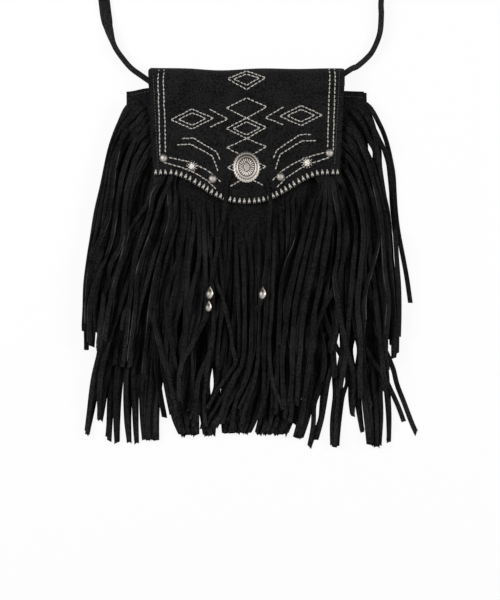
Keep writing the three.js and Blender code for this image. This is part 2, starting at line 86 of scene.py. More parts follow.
# Leather and clearances of the part
SUEDE = 1.8
FACING = 1.2
FACING_GAP = 0.6
TOUCH = 0.3
SEAM_TOP = 2 * SUEDE + TOUCH

# Form of the pouch
POUCH_CORNER = 24
MOUTH_RISE = 11
BELLY_RISE = 16
BELLY_DROP = 100
BELLY_SQUARENESS = 2.4
HEM = 11
SEAM_FALL = 26

# Form of the flap
FLAP_LIFT = 9.9
FLAP_TAPER = 5.5
FLAP_SIDE_DROP = 107
FLAP_POINT_DROP = 136
OGEE_HALF = 78
OGEE_FULLNESS = 1.2
CREASE = 5.3
FOLD_DEPTH = 22
FOLD_CORNER = (3, 4)
FLAP_SETTLE = 46
FLAT_Y = FOLD_Y - FOLD_DEPTH
FOLD_TOP = SEAM_TOP + MOUTH_RISE + FLAP_LIFT + SUEDE
TURNED_EDGE = (2.6, 5.4)
SEAM_INSET = 5.2
SEAM_GROOVE = 0.5
SEAM_GROOVE_HALF = 0.9
TRIM_TURN = np.radians(1.8)
TRIM_TILT = np.tan(TRIM_TURN)


def linear(code):
    """A hex sRGB colour as linear RGBA."""
    channels = [int(code[i:i + 2], 16) / 255 for i in (1, 3, 5)]
    return tuple(c / 12.92 if c <= 0.04045 else ((c + 0.055) / 1.055) ** 2.4 for c in channels) + (1.0,)


def mix(a, b, share):
    """A share of the way from a to b."""
    return a + (b - a) * share


def smooth(low, high, value):
    """0 before low, 1 after high, an S-curve between."""
    t = np.clip((value - low) / (high - low), 0, 1)
    return t * t * (3 - 2 * t)


def unit(vectors):
    """Vectors divided by their own lengths."""
    return vectors / np.maximum(np.linalg.norm(vectors, axis=-1, keepdims=True), 1e-9)


# Heights of the pouch, the flap and what the fringe lies on

def pouch_half_width(y):
    """Half the pouch's width at y: straight sides, then a quarter circle into the bottom."""
    rise = np.clip(POUCH_CORNER - (y - BOTTOM_Y), 0, POUCH_CORNER)
    return POUCH_HALF - POUCH_CORNER + np.sqrt(POUCH_CORNER ** 2 - rise ** 2)


def pouch_front(x, y):
    """Height of the front panel: a quarter sine from mouth to belly, a quarter cosine down to the bottom
    seam, times one minus a power of the share of the way to the side seam."""
    drop = MOUTH_Y - y
    upper = mix(MOUTH_RISE, BELLY_RISE, np.sin(np.pi / 2 * np.clip(drop / BELLY_DROP, 0, 1)))
    below = np.clip((drop - BELLY_DROP) / (MOUTH_Y - BOTTOM_Y - BELLY_DROP), 0, 1)
    crown = np.where(drop <= BELLY_DROP, upper, BELLY_RISE * np.cos(np.pi / 2 * below))
    share = np.clip(np.abs(x) / pouch_half_width(y), 0, 1)
    return SEAM_TOP + crown * (1 - share ** BELLY_SQUARENESS)


def lie(x, y):
    """Height of what the fringe lies on: the front panel, then an S-curve from the seam to the ground."""
    outside = np.hypot(np.maximum(np.abs(x) - pouch_half_width(y), 0), np.maximum(BOTTOM_Y - y, 0))
    fall = SEAM_TOP * (1 - smooth(0, SEAM_FALL, outside))
    return np.where(outside > 0, fall, pouch_front(x, y))


def flap_half(y):
    """Half the flap's width: a slow taper from the fold, whose corners are rounded by quarter ellipses."""
    inward, down = FOLD_CORNER
    corner = inward * (1 - np.sqrt(1 - np.clip(1 - (FOLD_Y - y) / down, 0, 0.98) ** 2))
    return FLAP_HALF - FLAP_TAPER * np.maximum(FOLD_Y - y, 0) / FLAP_SIDE_DROP - corner


def flap_edge(x):
    """The flap's ogee lower edge: half a cosine wave between the side drop and the point drop."""
    share = np.clip(np.abs(x) / OGEE_HALF, 0, 1)
    swell = 0.5 + 0.5 * np.cos(np.pi * share ** OGEE_FULLNESS)
    return FOLD_Y - mix(FLAP_SIDE_DROP, FLAP_POINT_DROP, swell)


def flap_relief(x, y):
    """What the leather stands off the plain flap: a turned side edge, the groove of its stitching, and
    slow waves of two sines."""
    inward = flap_half(y) - np.abs(x)
    edge = 1 - smooth(*TURNED_EDGE, inward)
    groove = SEAM_GROOVE * np.exp(-((inward - SEAM_INSET) / SEAM_GROOVE_HALF) ** 2)
    wave = 0.55 * np.sin(x / 27 + 0.8) * np.sin(y / 22 + 1.7) + 0.3 * np.sin(x / 11 + y / 17)
    return edge - groove + wave * smooth(0, 14, inward)


def flap_surface(x, y):
    """Height of the flap's outside: a quarter ellipse at the fold, then a leaf that settles by an S-curve
    onto what lies under it."""
    settled = smooth(0, FLAP_SETTLE, FLAT_Y - y)
    leaf = mix(FOLD_TOP, lie(x, y) + FLAP_LIFT + SUEDE, settled)
    turn = np.clip((y - FLAT_Y) / FOLD_DEPTH, 0, 0.985)
    bend = CREASE + (FOLD_TOP - CREASE) * np.sqrt(1 - turn ** 2)
    return np.where(y > FLAT_Y, bend, leaf) + flap_relief(x, y)


def surface_normal(surface, x, y, step=0.8):
    """The upward normal of a height function, from central differences."""
    dx = (surface(x + step, y) - surface(x - step, y)) / (2 * step)
    dy = (surface(x, y + step) - surface(x, y - step)) / (2 * step)
    return unit(np.stack([-dx, -dy, np.ones_like(dx)], -1))


# Meshes from whole arrays

def outward(points, faces):
    """The faces turned so that the closed mesh's signed volume is positive."""
    quads = faces[0]
    a, b, c, d = [points[quads[:, i]] for i in range(4)]
    volume = np.einsum("ij,ij->", a, np.cross(b, c)) + np.einsum("ij,ij->", a, np.cross(c, d))
    return faces if volume > 0 else [f[:, ::-1] for f in faces]


def closed_sheet(outer, inner):
    """A sheet with a thickness from two grids of points, rows by columns, joined round their borders."""
    rows, cols = outer.shape[:2]
    count = rows * cols
    index = np.arange(count).reshape(rows, cols)
    corners = [index[:-1, :-1], index[1:, :-1], index[1:, 1:], index[:-1, 1:]]
    face = np.stack([c.ravel() for c in corners], 1)
    border = np.concatenate([index[:-1, 0], index[-1, :-1], index[:0:-1, -1], index[0, :0:-1]])
    following = np.roll(border, -1)
    rim = np.stack([border, border + count, following + count, following], 1)
    points = np.concatenate([outer.reshape(-1, 3), inner.reshape(-1, 3)])
    quads = np.concatenate([face, face[:, ::-1] + count, rim])
    return points, outward(points, [quads])


def closed_tubes(rings):
    """Tubes from rings of points, tubes by rings by sides, each closed by a fan to a pole at both ends."""
    tubes, length, sides = rings.shape[:3]
    count = tubes * length * sides
    index = np.arange(count).reshape(tubes, length, sides)
    turned = np.roll(index, -1, axis=2)
    corners = [index[:, :-1], turned[:, :-1], turned[:, 1:], index[:, 1:]]
    quads = np.stack([c.ravel() for c in corners], 1)
    first = np.repeat(count + np.arange(tubes), sides)
    last = np.repeat(count + tubes + np.arange(tubes), sides)
    start = np.stack([turned[:, 0].ravel(), index[:, 0].ravel(), first], 1)
    end = np.stack([index[:, -1].ravel(), turned[:, -1].ravel(), last], 1)
    poles = [rings[:, 0].mean(1), rings[:, -1].mean(1)]
    points = np.concatenate([rings.reshape(-1, 3), *poles])
    return points, outward(points, [quads, np.concatenate([start, end])])


def with_poles(values):
    """A value for each ring point, carried on to the poles of closed_tubes."""
    return np.concatenate([values.ravel(), values[:, 0].mean(1), values[:, -1].mean(1)])


def add_piece(name, shape, material, body=None, nodes=(), slot=None, sharp=None, **attributes):
    """A mesh object at the origin from points and faces, with float attributes, riding a body and standing
    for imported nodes."""
    points, faces = shape
    name = name + "_visual" if name in nodes else name
    mesh = bpy.data.meshes.new(name)
    loops = np.concatenate([f.ravel() for f in faces]).astype(np.int32)
    sizes = np.concatenate([np.full(len(f), f.shape[1]) for f in faces])
    mesh.vertices.add(len(points))
    mesh.vertices.foreach_set("co", (points * MM).astype(np.float32).ravel())
    mesh.loops.add(len(loops))
    mesh.loops.foreach_set("vertex_index", loops)
    mesh.polygons.add(len(sizes))
    mesh.polygons.foreach_set("loop_start", (np.cumsum(sizes) - sizes).astype(np.int32))
    mesh.polygons.foreach_set("use_smooth", np.ones(len(sizes), bool))
    mesh.update(calc_edges=True)
    mesh.validate()
    if sharp is not None:
        mesh.set_sharp_from_angle(angle=np.radians(sharp))
    for key, values in attributes.items():
        layer = mesh.attributes.new(key, "FLOAT", "POINT")
        layer.data.foreach_set("value", np.asarray(values, np.float32).ravel())
    mesh.materials.append(material)
    piece = bpy.data.objects.new(name, mesh)
    bpy.context.scene.collection.objects.link(piece)
    if body:
        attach(piece, body)
    if nodes:
        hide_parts(*nodes)
    return piece


def along_path(paths, up):
    """Unit tangent, across and up vectors along paths, square to each other, with up as near as can be."""
    tangent = unit(np.gradient(paths, axis=-2))
    across = unit(np.cross(tangent, up))
    return tangent, across, np.cross(across, tangent)


def turned_by(across, up, angle):
    """Across and up turned about the path by an angle."""
    c, s = np.cos(angle)[..., None], np.sin(angle)[..., None]
    return across * c + up * s, up * c - across * s


def ribbon_rings(centre, across, up, width, thickness, bevel):
    """Eight-sided flat sections along a path: a rectangle with its four corners cut by the bevel."""
    a, b = width / 2, thickness / 2
    e = np.minimum(bevel, 0.49 * thickness)
    corners = [(a - e, b), (-(a - e), b), (-a, b - e), (-a, e - b),
               (e - a, -b), (a - e, -b), (a, e - b), (a, b - e)]
    rings = [centre + u[..., None] * across + v[..., None] * up for u, v in corners]
    return np.stack(rings, -2)


# Which of a ribbon's eight corners are on a cut edge
CUT_EDGE = np.array([0, 0, 1, 1, 0, 0, 1, 1.0])


def round_rings(paths, across, up, radius, sides):
    """Round sections along paths."""
    angle = np.arange(sides) * 2 * np.pi / sides
    ring = np.cos(angle)[:, None] * across[..., None, :] + np.sin(angle)[:, None] * up[..., None, :]
    return paths[..., None, :] + radius[..., None, None] * ring


def catmull(points, at):
    """Points on Catmull-Rom curves: points is curves by points by axes, at the places in points' numbers."""
    last = points.shape[1] - 1
    i = np.minimum(at.astype(int), last - 1)
    f = (at - i)[..., None]
    row = np.arange(len(points))[:, None]
    p = [points[row, np.clip(i + k, 0, last)] for k in (-1, 0, 1, 2)]
    return p[1] + 0.5 * f * (p[2] - p[0] + f * (2 * p[0] - 5 * p[1] + 4 * p[2] - p[3]
                             + f * (3 * (p[1] - p[2]) + p[3] - p[0])))


def even_path(points, count):
    """A Catmull-Rom curve through points, with count points at even distances along it."""
    points = np.array(points, float)[None]
    fine = catmull(points, np.linspace(0, points.shape[1] - 1, 1500)[None])[0]
    along = np.concatenate([[0], np.cumsum(np.linalg.norm(np.diff(fine, axis=0), axis=1))])
    at = np.linspace(0, along[-1], count)
    return np.stack([np.interp(at, along, fine[:, k]) for k in range(points.shape[2])], 1), along[-1]


def eased_over(heights, reach):
    """The highest of the heights within a reach along a path, then evened out by a bell of that reach."""
    highest = np.lib.stride_tricks.sliding_window_view(np.pad(heights, reach, "edge"), 2 * reach + 1).max(1)
    bell = np.hanning(2 * reach + 3)[1:-1]
    return np.convolve(np.pad(highest, reach, "edge"), bell / bell.sum(), "valid")


# Materials

def add_node(tree, kind, inputs=None, **settings):
    """Adds a node with its settings; inputs maps its sockets to values or to the sockets that feed them."""
    made = tree.nodes.new(kind)
    for key, value in settings.items():
        setattr(made, key, value)
    for key, value in (inputs or {}).items():
        if isinstance(value, bpy.types.NodeSocket):
            tree.links.new(value, made.inputs[key])
        else:
            made.inputs[key].default_value = value
    return made


def new_material(name):
    """An empty node material and its tree."""
    material = bpy.data.materials.new(name)
    material.use_nodes = True
    material.node_tree.nodes.clear()
    return material, material.node_tree


def finish_material(tree, shader):
    """Joins a shader to the material's output."""
    add_node(tree, "ShaderNodeOutputMaterial", {"Surface": shader.outputs[0]})


def grain(tree, coordinate, size, detail=3.0, roughness=0.55):
    """Noise whose lumps are about size millimetres across."""
    return add_node(tree, "ShaderNodeTexNoise", {
        "Vector": coordinate, "Scale": 1 / (size * MM), "Detail": detail, "Roughness": roughness,
    }).outputs["Fac"]


# The suede's pattern: patches brushed one way, tufts of nap, and fibres, drawn coarser than real to show
NAP_PATCH = 26
NAP_TUFT = 2.2
NAP_FIBRE = 1.4


@functools.lru_cache(maxsize=None)
def suede(name, dark, light, edge, depth, strands=False):
    """Split suede, dyed black and brushed: a deep matt nap with fine fibres, patches where the nap lies
    another way, a soft bloom at grazing angles, and on the strands paler cut edges, painted highlights where
    the edges would catch the light."""
    material, tree = new_material(name)
    place = add_node(tree, "ShaderNodeTexCoord").outputs["Object"]
    brushed = grain(tree, place, NAP_PATCH, 2.0)
    tufts = grain(tree, place, NAP_TUFT, 3.0)
    fibres = grain(tree, place, NAP_FIBRE, 2.0, 0.7)
    swept = 0.35 if strands else 0.65
    lifted = add_node(tree, "ShaderNodeMath", {0: brushed, 1: swept, 2: -0.34 - swept / 2},
                      operation="MULTIPLY_ADD").outputs[0]
    speckled = add_node(tree, "ShaderNodeMath", {0: tufts, 1: 0.7, 2: lifted},
                        operation="MULTIPLY_ADD").outputs[0]
    nap = add_node(tree, "ShaderNodeMath", {0: fibres, 1: 2.3, 2: speckled},
                   operation="MULTIPLY_ADD").outputs[0]
    level = add_node(tree, "ShaderNodeMapRange", {"Value": nap, 1: 0.88, 2: 1.42}).outputs[0]
    dark, light = [tuple(depth * c for c in shade[:3]) + (1.0,) for shade in (dark, light)]
    colour = add_node(tree, "ShaderNodeMix", {"Factor": level, 6: dark, 7: light},
                      data_type="RGBA").outputs[2]
    if strands:
        # Tones of the strands, which carry painted shade from their layers, heads and sides, and painted
        # light at the tips
        tone = add_node(tree, "ShaderNodeAttribute", attribute_name="tone").outputs["Fac"]
        colour = add_node(tree, "ShaderNodeMix", {"Factor": 1.0, 6: colour, 7: tone},
                          data_type="RGBA", blend_type="MULTIPLY").outputs[2]
        # Pale cut edges in patches of the nap: painted highlights
        cut = add_node(tree, "ShaderNodeAttribute", attribute_name="cut").outputs["Fac"]
        lit_patches = add_node(tree, "ShaderNodeMapRange", {"Value": brushed, 1: 0.45, 2: 0.6, 3: 0.12}).outputs[0]
        lit_edges = add_node(tree, "ShaderNodeMath", {0: cut, 1: lit_patches}, operation="MULTIPLY").outputs[0]
        edge_highlight = add_node(tree, "ShaderNodeMath", {0: lit_edges, 1: fibres}, operation="MULTIPLY").outputs[0]
        colour = add_node(tree, "ShaderNodeMix", {"Factor": edge_highlight, 6: colour, 7: edge},
                          data_type="RGBA").outputs[2]
    ruffled = add_node(tree, "ShaderNodeMath", {0: tufts, 1: 1.4, 2: fibres},
                       operation="MULTIPLY_ADD").outputs[0]
    bump = add_node(tree, "ShaderNodeBump", {"Height": ruffled, "Distance": 0.25 * MM, "Strength": 0.8})
    shader = add_node(tree, "ShaderNodeBsdfPrincipled", {
        "Base Color": colour, "Normal": bump.outputs[0], "Roughness": 0.92, "IOR": 1.45,
        "Specular IOR Level": 0.02, "Sheen Weight": 0.03, "Sheen Roughness": 0.5,
    })
    finish_material(tree, shader)
    return material


@functools.lru_cache(maxsize=None)
def cotton_thread(name, colour, shade):
    """Mercerised cotton thread of two plies: a soft lustre, and painted shade in the grooves where the plies
    turn.
    """
    material, tree = new_material(name)
    turn = add_node(tree, "ShaderNodeAttribute", attribute_name="ply").outputs["Fac"]
    wave = add_node(tree, "ShaderNodeMath", {0: turn, 1: 2 * np.pi}, operation="MULTIPLY").outputs[0]
    ridge = add_node(tree, "ShaderNodeMath", {0: wave}, operation="SINE").outputs[0]
    level = add_node(tree, "ShaderNodeMapRange", {"Value": ridge, 1: -1.0, 2: 0.6}).outputs[0]
    mixed = add_node(tree, "ShaderNodeMix", {"Factor": level, 6: shade, 7: colour},
                     data_type="RGBA").outputs[2]
    bump = add_node(tree, "ShaderNodeBump", {"Height": ridge, "Distance": 0.12 * MM})
    shader = add_node(tree, "ShaderNodeBsdfPrincipled", {
        "Base Color": mixed, "Normal": bump.outputs[0], "Roughness": 0.5, "IOR": 1.5, "Sheen Weight": 0.2,
    })
    finish_material(tree, shader)
    return material


@functools.lru_cache(maxsize=None)
def silver(name, bright, tarnish_and_shade, roughness, patina_and_shade_strength):
    """Cast silver-plated zinc: polished by hand on the high places, left dark where polish can't reach, and
    darkened as painted shade where a piece turns from the light.
    """
    material, tree = new_material(name)
    place = add_node(tree, "ShaderNodeTexCoord").outputs["Object"]
    clouds = grain(tree, place, 1.6, 3.0)
    # How dark each place is, set by its piece: patina in the hollows and painted shade
    recess = add_node(tree, "ShaderNodeAttribute", attribute_name="recess").outputs["Fac"]
    patina_and_shade_dark = add_node(tree, "ShaderNodeMath", {0: recess, 1: patina_and_shade_strength}, operation="MULTIPLY").outputs[0]
    patina_clouds_and_shade = add_node(tree, "ShaderNodeMath", {0: clouds, 1: 0.25, 2: patina_and_shade_dark},
                      operation="MULTIPLY_ADD").outputs[0]
    level = add_node(tree, "ShaderNodeMapRange", {"Value": patina_clouds_and_shade, 1: 0.1, 2: 0.9}).outputs[0]
    colour = add_node(tree, "ShaderNodeMix", {"Factor": level, 6: bright, 7: tarnish_and_shade},
                      data_type="RGBA").outputs[2]
    rough = add_node(tree, "ShaderNodeMapRange",
                     {"Value": patina_clouds_and_shade, 3: roughness, 4: roughness + 0.3}).outputs[0]
    bump = add_node(tree, "ShaderNodeBump", {"Height": clouds, "Distance": 0.05 * MM, "Strength": 0.5})
    shader = add_node(tree, "ShaderNodeBsdfPrincipled", {
        "Base Color": colour, "Roughness": rough, "Normal": bump.outputs[0], "Metallic": 1.0,
    })
    finish_material(tree, shader)
    return material


def studio_floor(colour):
    """Matt white card: the camera and reflections see it near white. It keeps a soft shadow round the bag
    and runs out to the white of the room."""
    material, tree = new_material("matt_white_card")
    place = add_node(tree, "ShaderNodeTexCoord").outputs["Object"]
    tooth = add_node(tree, "ShaderNodeBump", {"Height": grain(tree, place, 1.2), "Distance": 0.02 * MM})
    card = add_node(tree, "ShaderNodeBsdfPrincipled", {
        "Base Color": colour, "Roughness": 0.9, "Normal": tooth.outputs[0],
    })
    glow = add_node(tree, "ShaderNodeEmission", {"Color": (1, 1, 1, 1), "Strength": 1.0})
    ray = add_node(tree, "ShaderNodeLightPath").outputs
    seen = add_node(tree, "ShaderNodeMath", {0: ray["Is Camera Ray"], 1: ray["Is Glossy Ray"]},
                    operation="MAXIMUM").outputs[0]
    shown = add_node(tree, "ShaderNodeMath", {0: seen, 1: ray["Is Transmission Ray"]},
                     operation="MAXIMUM").outputs[0]
    away = add_node(tree, "ShaderNodeVectorMath", {0: place}, operation="LENGTH").outputs["Value"]
    white = add_node(tree, "ShaderNodeMapRange", {"Value": away, 1: 0.6, 2: 2.2, 3: 0.9, 4: 1.0}).outputs[0]
    share = add_node(tree, "ShaderNodeMath", {0: shown, 1: white}, operation="MULTIPLY").outputs[0]
    shader = add_node(tree, "ShaderNodeMixShader", {0: share, 1: card.outputs[0], 2: glow.outputs[0]})
    finish_material(tree, shader)
    return material


# What a user would change

def colour_setting(name, description, code):
    """A colour, from a hex sRGB value."""
    return bpy.props.FloatVectorProperty(
        name=name, description=description, subtype="COLOR", size=4, min=0, max=1, default=linear(code))


def length_setting(name, description, default, least, most):
    """A length, from millimetres."""
    return bpy.props.FloatProperty(
        name=name, description=description, default=default * MM, min=least * MM, max=most * MM,
        subtype="DISTANCE", unit="LENGTH")


class BagFinish(bpy.types.PropertyGroup):
    """Colours of the leather, thread, silver and floor."""

    suede_dark: colour_setting("Suede, nap down", "Darkest of the black suede", "#0b0b0b")
    suede_light: colour_setting("Suede, nap up", "Lightest of the black suede", "#252525")
    # Colour of the painted highlight on cut edges
    edge_highlight_colour: colour_setting("Cut edge", "Raw edge of a cut strand", "#565656")
    thread: colour_setting("Embroidery thread", "Cream embroidery cotton", "#cbc6bf")
    black_thread: colour_setting("Sewing thread", "Charcoal sewing thread", "#272727")
    silver: colour_setting("Silver", "Polished silver plate", "#d9d3cc")
    # The dark of the silver: tarnish in its hollows, and painted shade on the trim
    tarnish_and_shade: colour_setting("Tarnish", "Silver left dark in the hollows", "#4a423d")
    floor: colour_setting("Floor", "Card that the bag lies on", "#f0f0f0")


class BagSizes(bpy.types.PropertyGroup):
    """Sizes of the fringe, thread and strap."""

    strand_width: length_setting("Strand width", "Width that the fringe is cut to", 4.9, 2, 9)
    strand_thickness: length_setting("Strand thickness", "Thickness of the fringe suede", 1.4, 0.5, 3)
    stitch: length_setting("Stitch", "Length of an embroidery stitch", 4.1, 1, 8)
    thread: length_setting("Thread", "Diameter of the embroidery thread", 1.25, 0.4, 3)
    strap_width: length_setting("Strap width", "Width of the shoulder strap", 11.6, 6, 30)
    strap_thickness: length_setting("Strap thickness", "Thickness of the folded strap", 5.4, 2, 10)
    seed: bpy.props.IntProperty(
        name="Seed", description="Which way the loose strands fall", default=7, min=0)


class BagStage(bpy.types.PropertyGroup):
    """Camera and lamps."""

    lens: bpy.props.FloatProperty(
        name="Lens", description="Focal length of the camera in millimetres", default=200, min=35, max=400)
    key_power: bpy.props.FloatProperty(
        name="Key lamp", description="Power of the large soft lamp", default=22, min=0, subtype="POWER",
        unit="POWER")
    sky: bpy.props.FloatProperty(
        name="Room light", description="Strength of the light from all round", default=0.2, min=0, max=2)


# How light each part's suede is against the colours set, and how dark each thread's grooves are painted
# against its ridges, as painted shade
SUEDE_DEPTH = {"body": 0.9, "flap": 0.85, "fringe": 0.96, "strap": 1.45, "lace": 0.8}
GROOVE_SHADE = 0.45


def suede_of(context, part):
    """The suede of a part, named for what it is on that part."""
    colours = context.scene.bag_finish
    dark, light, edge = [tuple(c) for c in (colours.suede_dark, colours.suede_light, colours.edge_highlight_colour)]
    strands = part in ("fringe", "lace")
    return suede("black_split_suede_" + part, dark, light, edge, SUEDE_DEPTH[part], strands)


def thread_of(context, charcoal=False):
    """Cream embroidery thread or charcoal sewing thread."""
    colours = context.scene.bag_finish
    colour = tuple(colours.black_thread if charcoal else colours.thread)
    shade = tuple(GROOVE_SHADE * c for c in colour[:3]) + (1.0,)
    return cotton_thread("charcoal_cotton_thread" if charcoal else "cream_cotton_thread", colour, shade)


def silver_of(context, name, roughness, patina_and_shade_strength, gleam=1.0):
    """Silver of one kind of trim, its polish lightened by the gleam."""
    colours = context.scene.bag_finish
    bright = tuple(min(1.0, gleam * c) for c in colours.silver)
    return silver(name, bright, tuple(colours.tarnish_and_shade), roughness, patina_and_shade_strength)


# Stage

VIEW_CENTRE = (3.4, -95.0)
VIEW_HEIGHT = 600
SHARP_PLANE = 14
SENSOR = 36
FLOOR_REACH = 4000.0
FLOOR_TOP = -0.15
FLOOR_DEPTH = 20
LAMP_SIZE = 900
KEY_PLACE = (-1100, 350, 1300)
FILL_PLACE = (1150, 150, 1300)
FILL_SHARE = 0.75
BRIGHT_WAY = (0.0, -0.6, 0.55)


class BAG_OT_stage(bpy.types.Operator):
    """Pale card floor, soft studio light and a camera straight above the bag"""

    bl_idname = "bag.stage"
    bl_label = "Stage"

    def execute(self, context):
        settings = context.scene.bag_stage
        context.scene.view_settings.view_transform = "Standard"
        side = np.linspace(-FLOOR_REACH, FLOOR_REACH, 9)
        x, y = np.meshgrid(side, side)
        top = np.stack([x, y, np.full_like(x, FLOOR_TOP)], -1)
        card = studio_floor(tuple(context.scene.bag_finish.floor))
        floor = add_piece("floor", closed_sheet(top, top - [0, 0, FLOOR_DEPTH]), card)
        self.world(context, settings.sky)
        self.lamp(context, "key_lamp", KEY_PLACE, settings.key_power)
        self.lamp(context, "fill_lamp", FILL_PLACE, settings.key_power * FILL_SHARE)
        self.camera(context, settings.lens)
        return {"FINISHED"}

    def world(self, context, strength):
        """Even white light; a white surround for what the camera sees past the floor; and for the silver's
        reflections a room that is brightest overhead and towards the foot of the picture."""
        world = bpy.data.worlds.new("white_room")
        context.scene.world = world
        world.use_nodes = True
        tree = world.node_tree
        tree.nodes.clear()
        ray = add_node(tree, "ShaderNodeLightPath").outputs
        way = add_node(tree, "ShaderNodeTexCoord").outputs["Generated"]
        toward = add_node(tree, "ShaderNodeVectorMath", {0: way, 1: BRIGHT_WAY}, operation="DOT_PRODUCT")
        room = add_node(tree, "ShaderNodeMapRange",
                        {"Value": toward.outputs["Value"], 1: 0.1, 2: 0.6, 3: 0.1, 4: 1.0})
        mirrored = add_node(tree, "ShaderNodeMix",
                            {0: ray["Is Glossy Ray"], 2: strength, 3: room.outputs[0]})
        power = add_node(tree, "ShaderNodeMix", {0: ray["Is Camera Ray"], 2: mirrored.outputs[0], 3: 1.0})
        sky = add_node(tree, "ShaderNodeBackground", {"Color": (1, 1, 1, 1), "Strength": power.outputs[0]})
        add_node(tree, "ShaderNodeOutputWorld", {"Surface": sky.outputs[0]})

    def lamp(self, context, name, place, power):
        """A square softbox that faces the bag."""
        data = bpy.data.lights.new(name, "AREA")
        data.size = LAMP_SIZE * MM
        data.energy = power
        lamp = bpy.data.objects.new(name, data)
        lamp.location = np.array(place) * MM
        lamp.rotation_euler = (-lamp.location).to_track_quat("-Z", "Y").to_euler()
        context.scene.collection.objects.link(lamp)

    def camera(self, context, lens):
        """Looks straight down, so far up that the view's height at the sharp plane fills the frame."""
        data = bpy.data.cameras.new("camera")
        data.lens = lens
        data.sensor_width = SENSOR
        camera = bpy.data.objects.new("camera", data)
        height = VIEW_HEIGHT * lens / SENSOR + SHARP_PLANE
        camera.location = (VIEW_CENTRE[0] * MM, VIEW_CENTRE[1] * MM, height * MM)
        context.scene.collection.objects.link(camera)
        context.scene.camera = camera


# Strap

STRAP_EXIT = (FLAP_HALF + TOUCH, FOLD_Y - FOLD_DEPTH / 2, 8.1)
# How far the ends reach into the fold, how far out the next points are, and the rise of both over the exit
STRAP_TUCK = 3
STRAP_LEAD = 7
STRAP_RISE_LEFT = (-3, 4)
STRAP_RISE_RIGHT = (11, 4.5)
# Where along its length the strap turns over flat, and where it turns on edge again
STRAP_TURNS_FLAT = (52, 92)
STRAP_TURNS_BACK = (190, 300)
STRAP_BEVEL = 2.0
# How strongly the strap's cut edges take a painted highlight; the strap's suede doesn't read it
STRAP_EDGE_HIGHLIGHT = 0.15
STRAP_ROUTE = [
    (-115.6, 137.3), (-123.6, 146.4), (-131.6, 158), (-136.8, 172), (-140.6, 187.5), (-142.9, 205),
    (-147, 240), (-151, 280), (-152, 320), (-147, 362), (-133, 404), (-108, 441), (-72, 469), (-28, 485),
    (20, 487), (65, 475), (102, 450), (128, 415), (141, 375), (145, 330), (143, 285), (139, 240),
    (134.9, 205), (135, 191), (133.4, 172), (126.8, 155.5), (120, 147), (110.6, 139),
]


class BAG_OT_strap(bpy.types.Operator):
    """Shoulder strap of folded suede, on edge out of the fold, laid over flat on its left run"""

    bl_idname = "bag.strap"
    bl_label = "Strap"

    def execute(self, context):
        sizes = context.scene.bag_sizes
        width, thickness = sizes.strap_width / MM, sizes.strap_thickness / MM
        sections = 420
        x, y, z = STRAP_EXIT
        inside, beside = x - STRAP_TUCK, x + STRAP_LEAD
        left = [(-inside, y + STRAP_RISE_LEFT[0], z), (-beside, y + STRAP_RISE_LEFT[1], z)]
        right = [(beside, y + STRAP_RISE_RIGHT[0], z), (inside, y + STRAP_RISE_RIGHT[1], z)]
        ground = width / 2 + TOUCH
        path, length = even_path(left + [(a, b, ground) for a, b in STRAP_ROUTE] + right, sections)
        along = np.linspace(0, length, sections)
        laid = smooth(*STRAP_TURNS_FLAT, along) * (1 - smooth(*STRAP_TURNS_BACK, along))
        path[:, 2] -= laid * (width - thickness) / 2
        _, across, up = along_path(path[None], np.array([0, 0, 1.0]))
        across, up = turned_by(across, up, (np.pi / 2 * (1 - laid))[None])
        full = np.ones((1, sections))
        rings = ribbon_rings(path[None], across, up, width * full, thickness * full, STRAP_BEVEL * full)
        cut = np.broadcast_to(CUT_EDGE * STRAP_EDGE_HIGHLIGHT, rings.shape[:3])
        strap = add_piece("strap", closed_tubes(rings), suede_of(context, "strap"), "pouch", ["strap"],
                          "strap_suede", 60, cut=with_poles(cut), tone=with_poles(1 + 0 * cut))
        return {"FINISHED"}


# Fringe: guides from root to tip, in the order that the strands hang in

UPPER_LEFT = [
    [(-97, 103), (-112, 101), (-121, 95), (-132, 68), (-141, 34), (-151, -20), (-159, -75), (-164, -130)],
    [(-90, 102), (-106, 97), (-117, 84), (-128, 56), (-137, 16), (-145, -36), (-153, -88), (-158, -146)],
    [(-84, 101), (-101, 88), (-114, 70), (-124, 38), (-131, -2), (-139, -50), (-147, -97), (-152, -150)],
    [(-74, 101), (-95, 78), (-110, 57), (-119, 22), (-125, -18), (-133, -64), (-141, -108), (-147, -158)],
    [(-62, 101), (-85, 69), (-102, 44), (-112, 6), (-119, -34), (-128, -80), (-134, -120), (-139, -168)],
    [(-50, 101), (-74, 60), (-92, 32), (-100, -6), (-108, -45), (-116, -85), (-123, -125), (-128, -167)],
    [(-33, 101), (-58, 53), (-78, 22), (-84, -12), (-93, -48), (-103, -90), (-110, -130), (-114, -172)],
]
UPPER_RIGHT = [
    [(33, 101), (58, 52), (77, 22), (65, -11), (55, -44), (46, -82), (42, -112), (50, -160)],
    [(43, 101), (66, 56), (84, 25), (79, -10), (72, -55), (65, -100), (61, -140), (58, -176)],
    [(54, 101), (76, 62), (90, 28), (89, -15), (87, -60), (85, -105), (85, -145), (83, -180)],
    [(62, 101), (84, 68), (99, 42), (106, 0), (108, -50), (109, -98), (110, -140), (107, -178)],
    [(76, 101), (95, 73), (110, 55), (120, 22), (127, -26), (131, -78), (134, -120), (137, -165)],
    [(88, 101), (104, 86), (117, 68), (127, 36), (135, 0), (140, -50), (144, -100), (147, -152)],
    [(97, 103), (113, 101), (123, 90), (130, 66), (134.5, 31), (141, -12), (146, -66), (150, -154)],
]
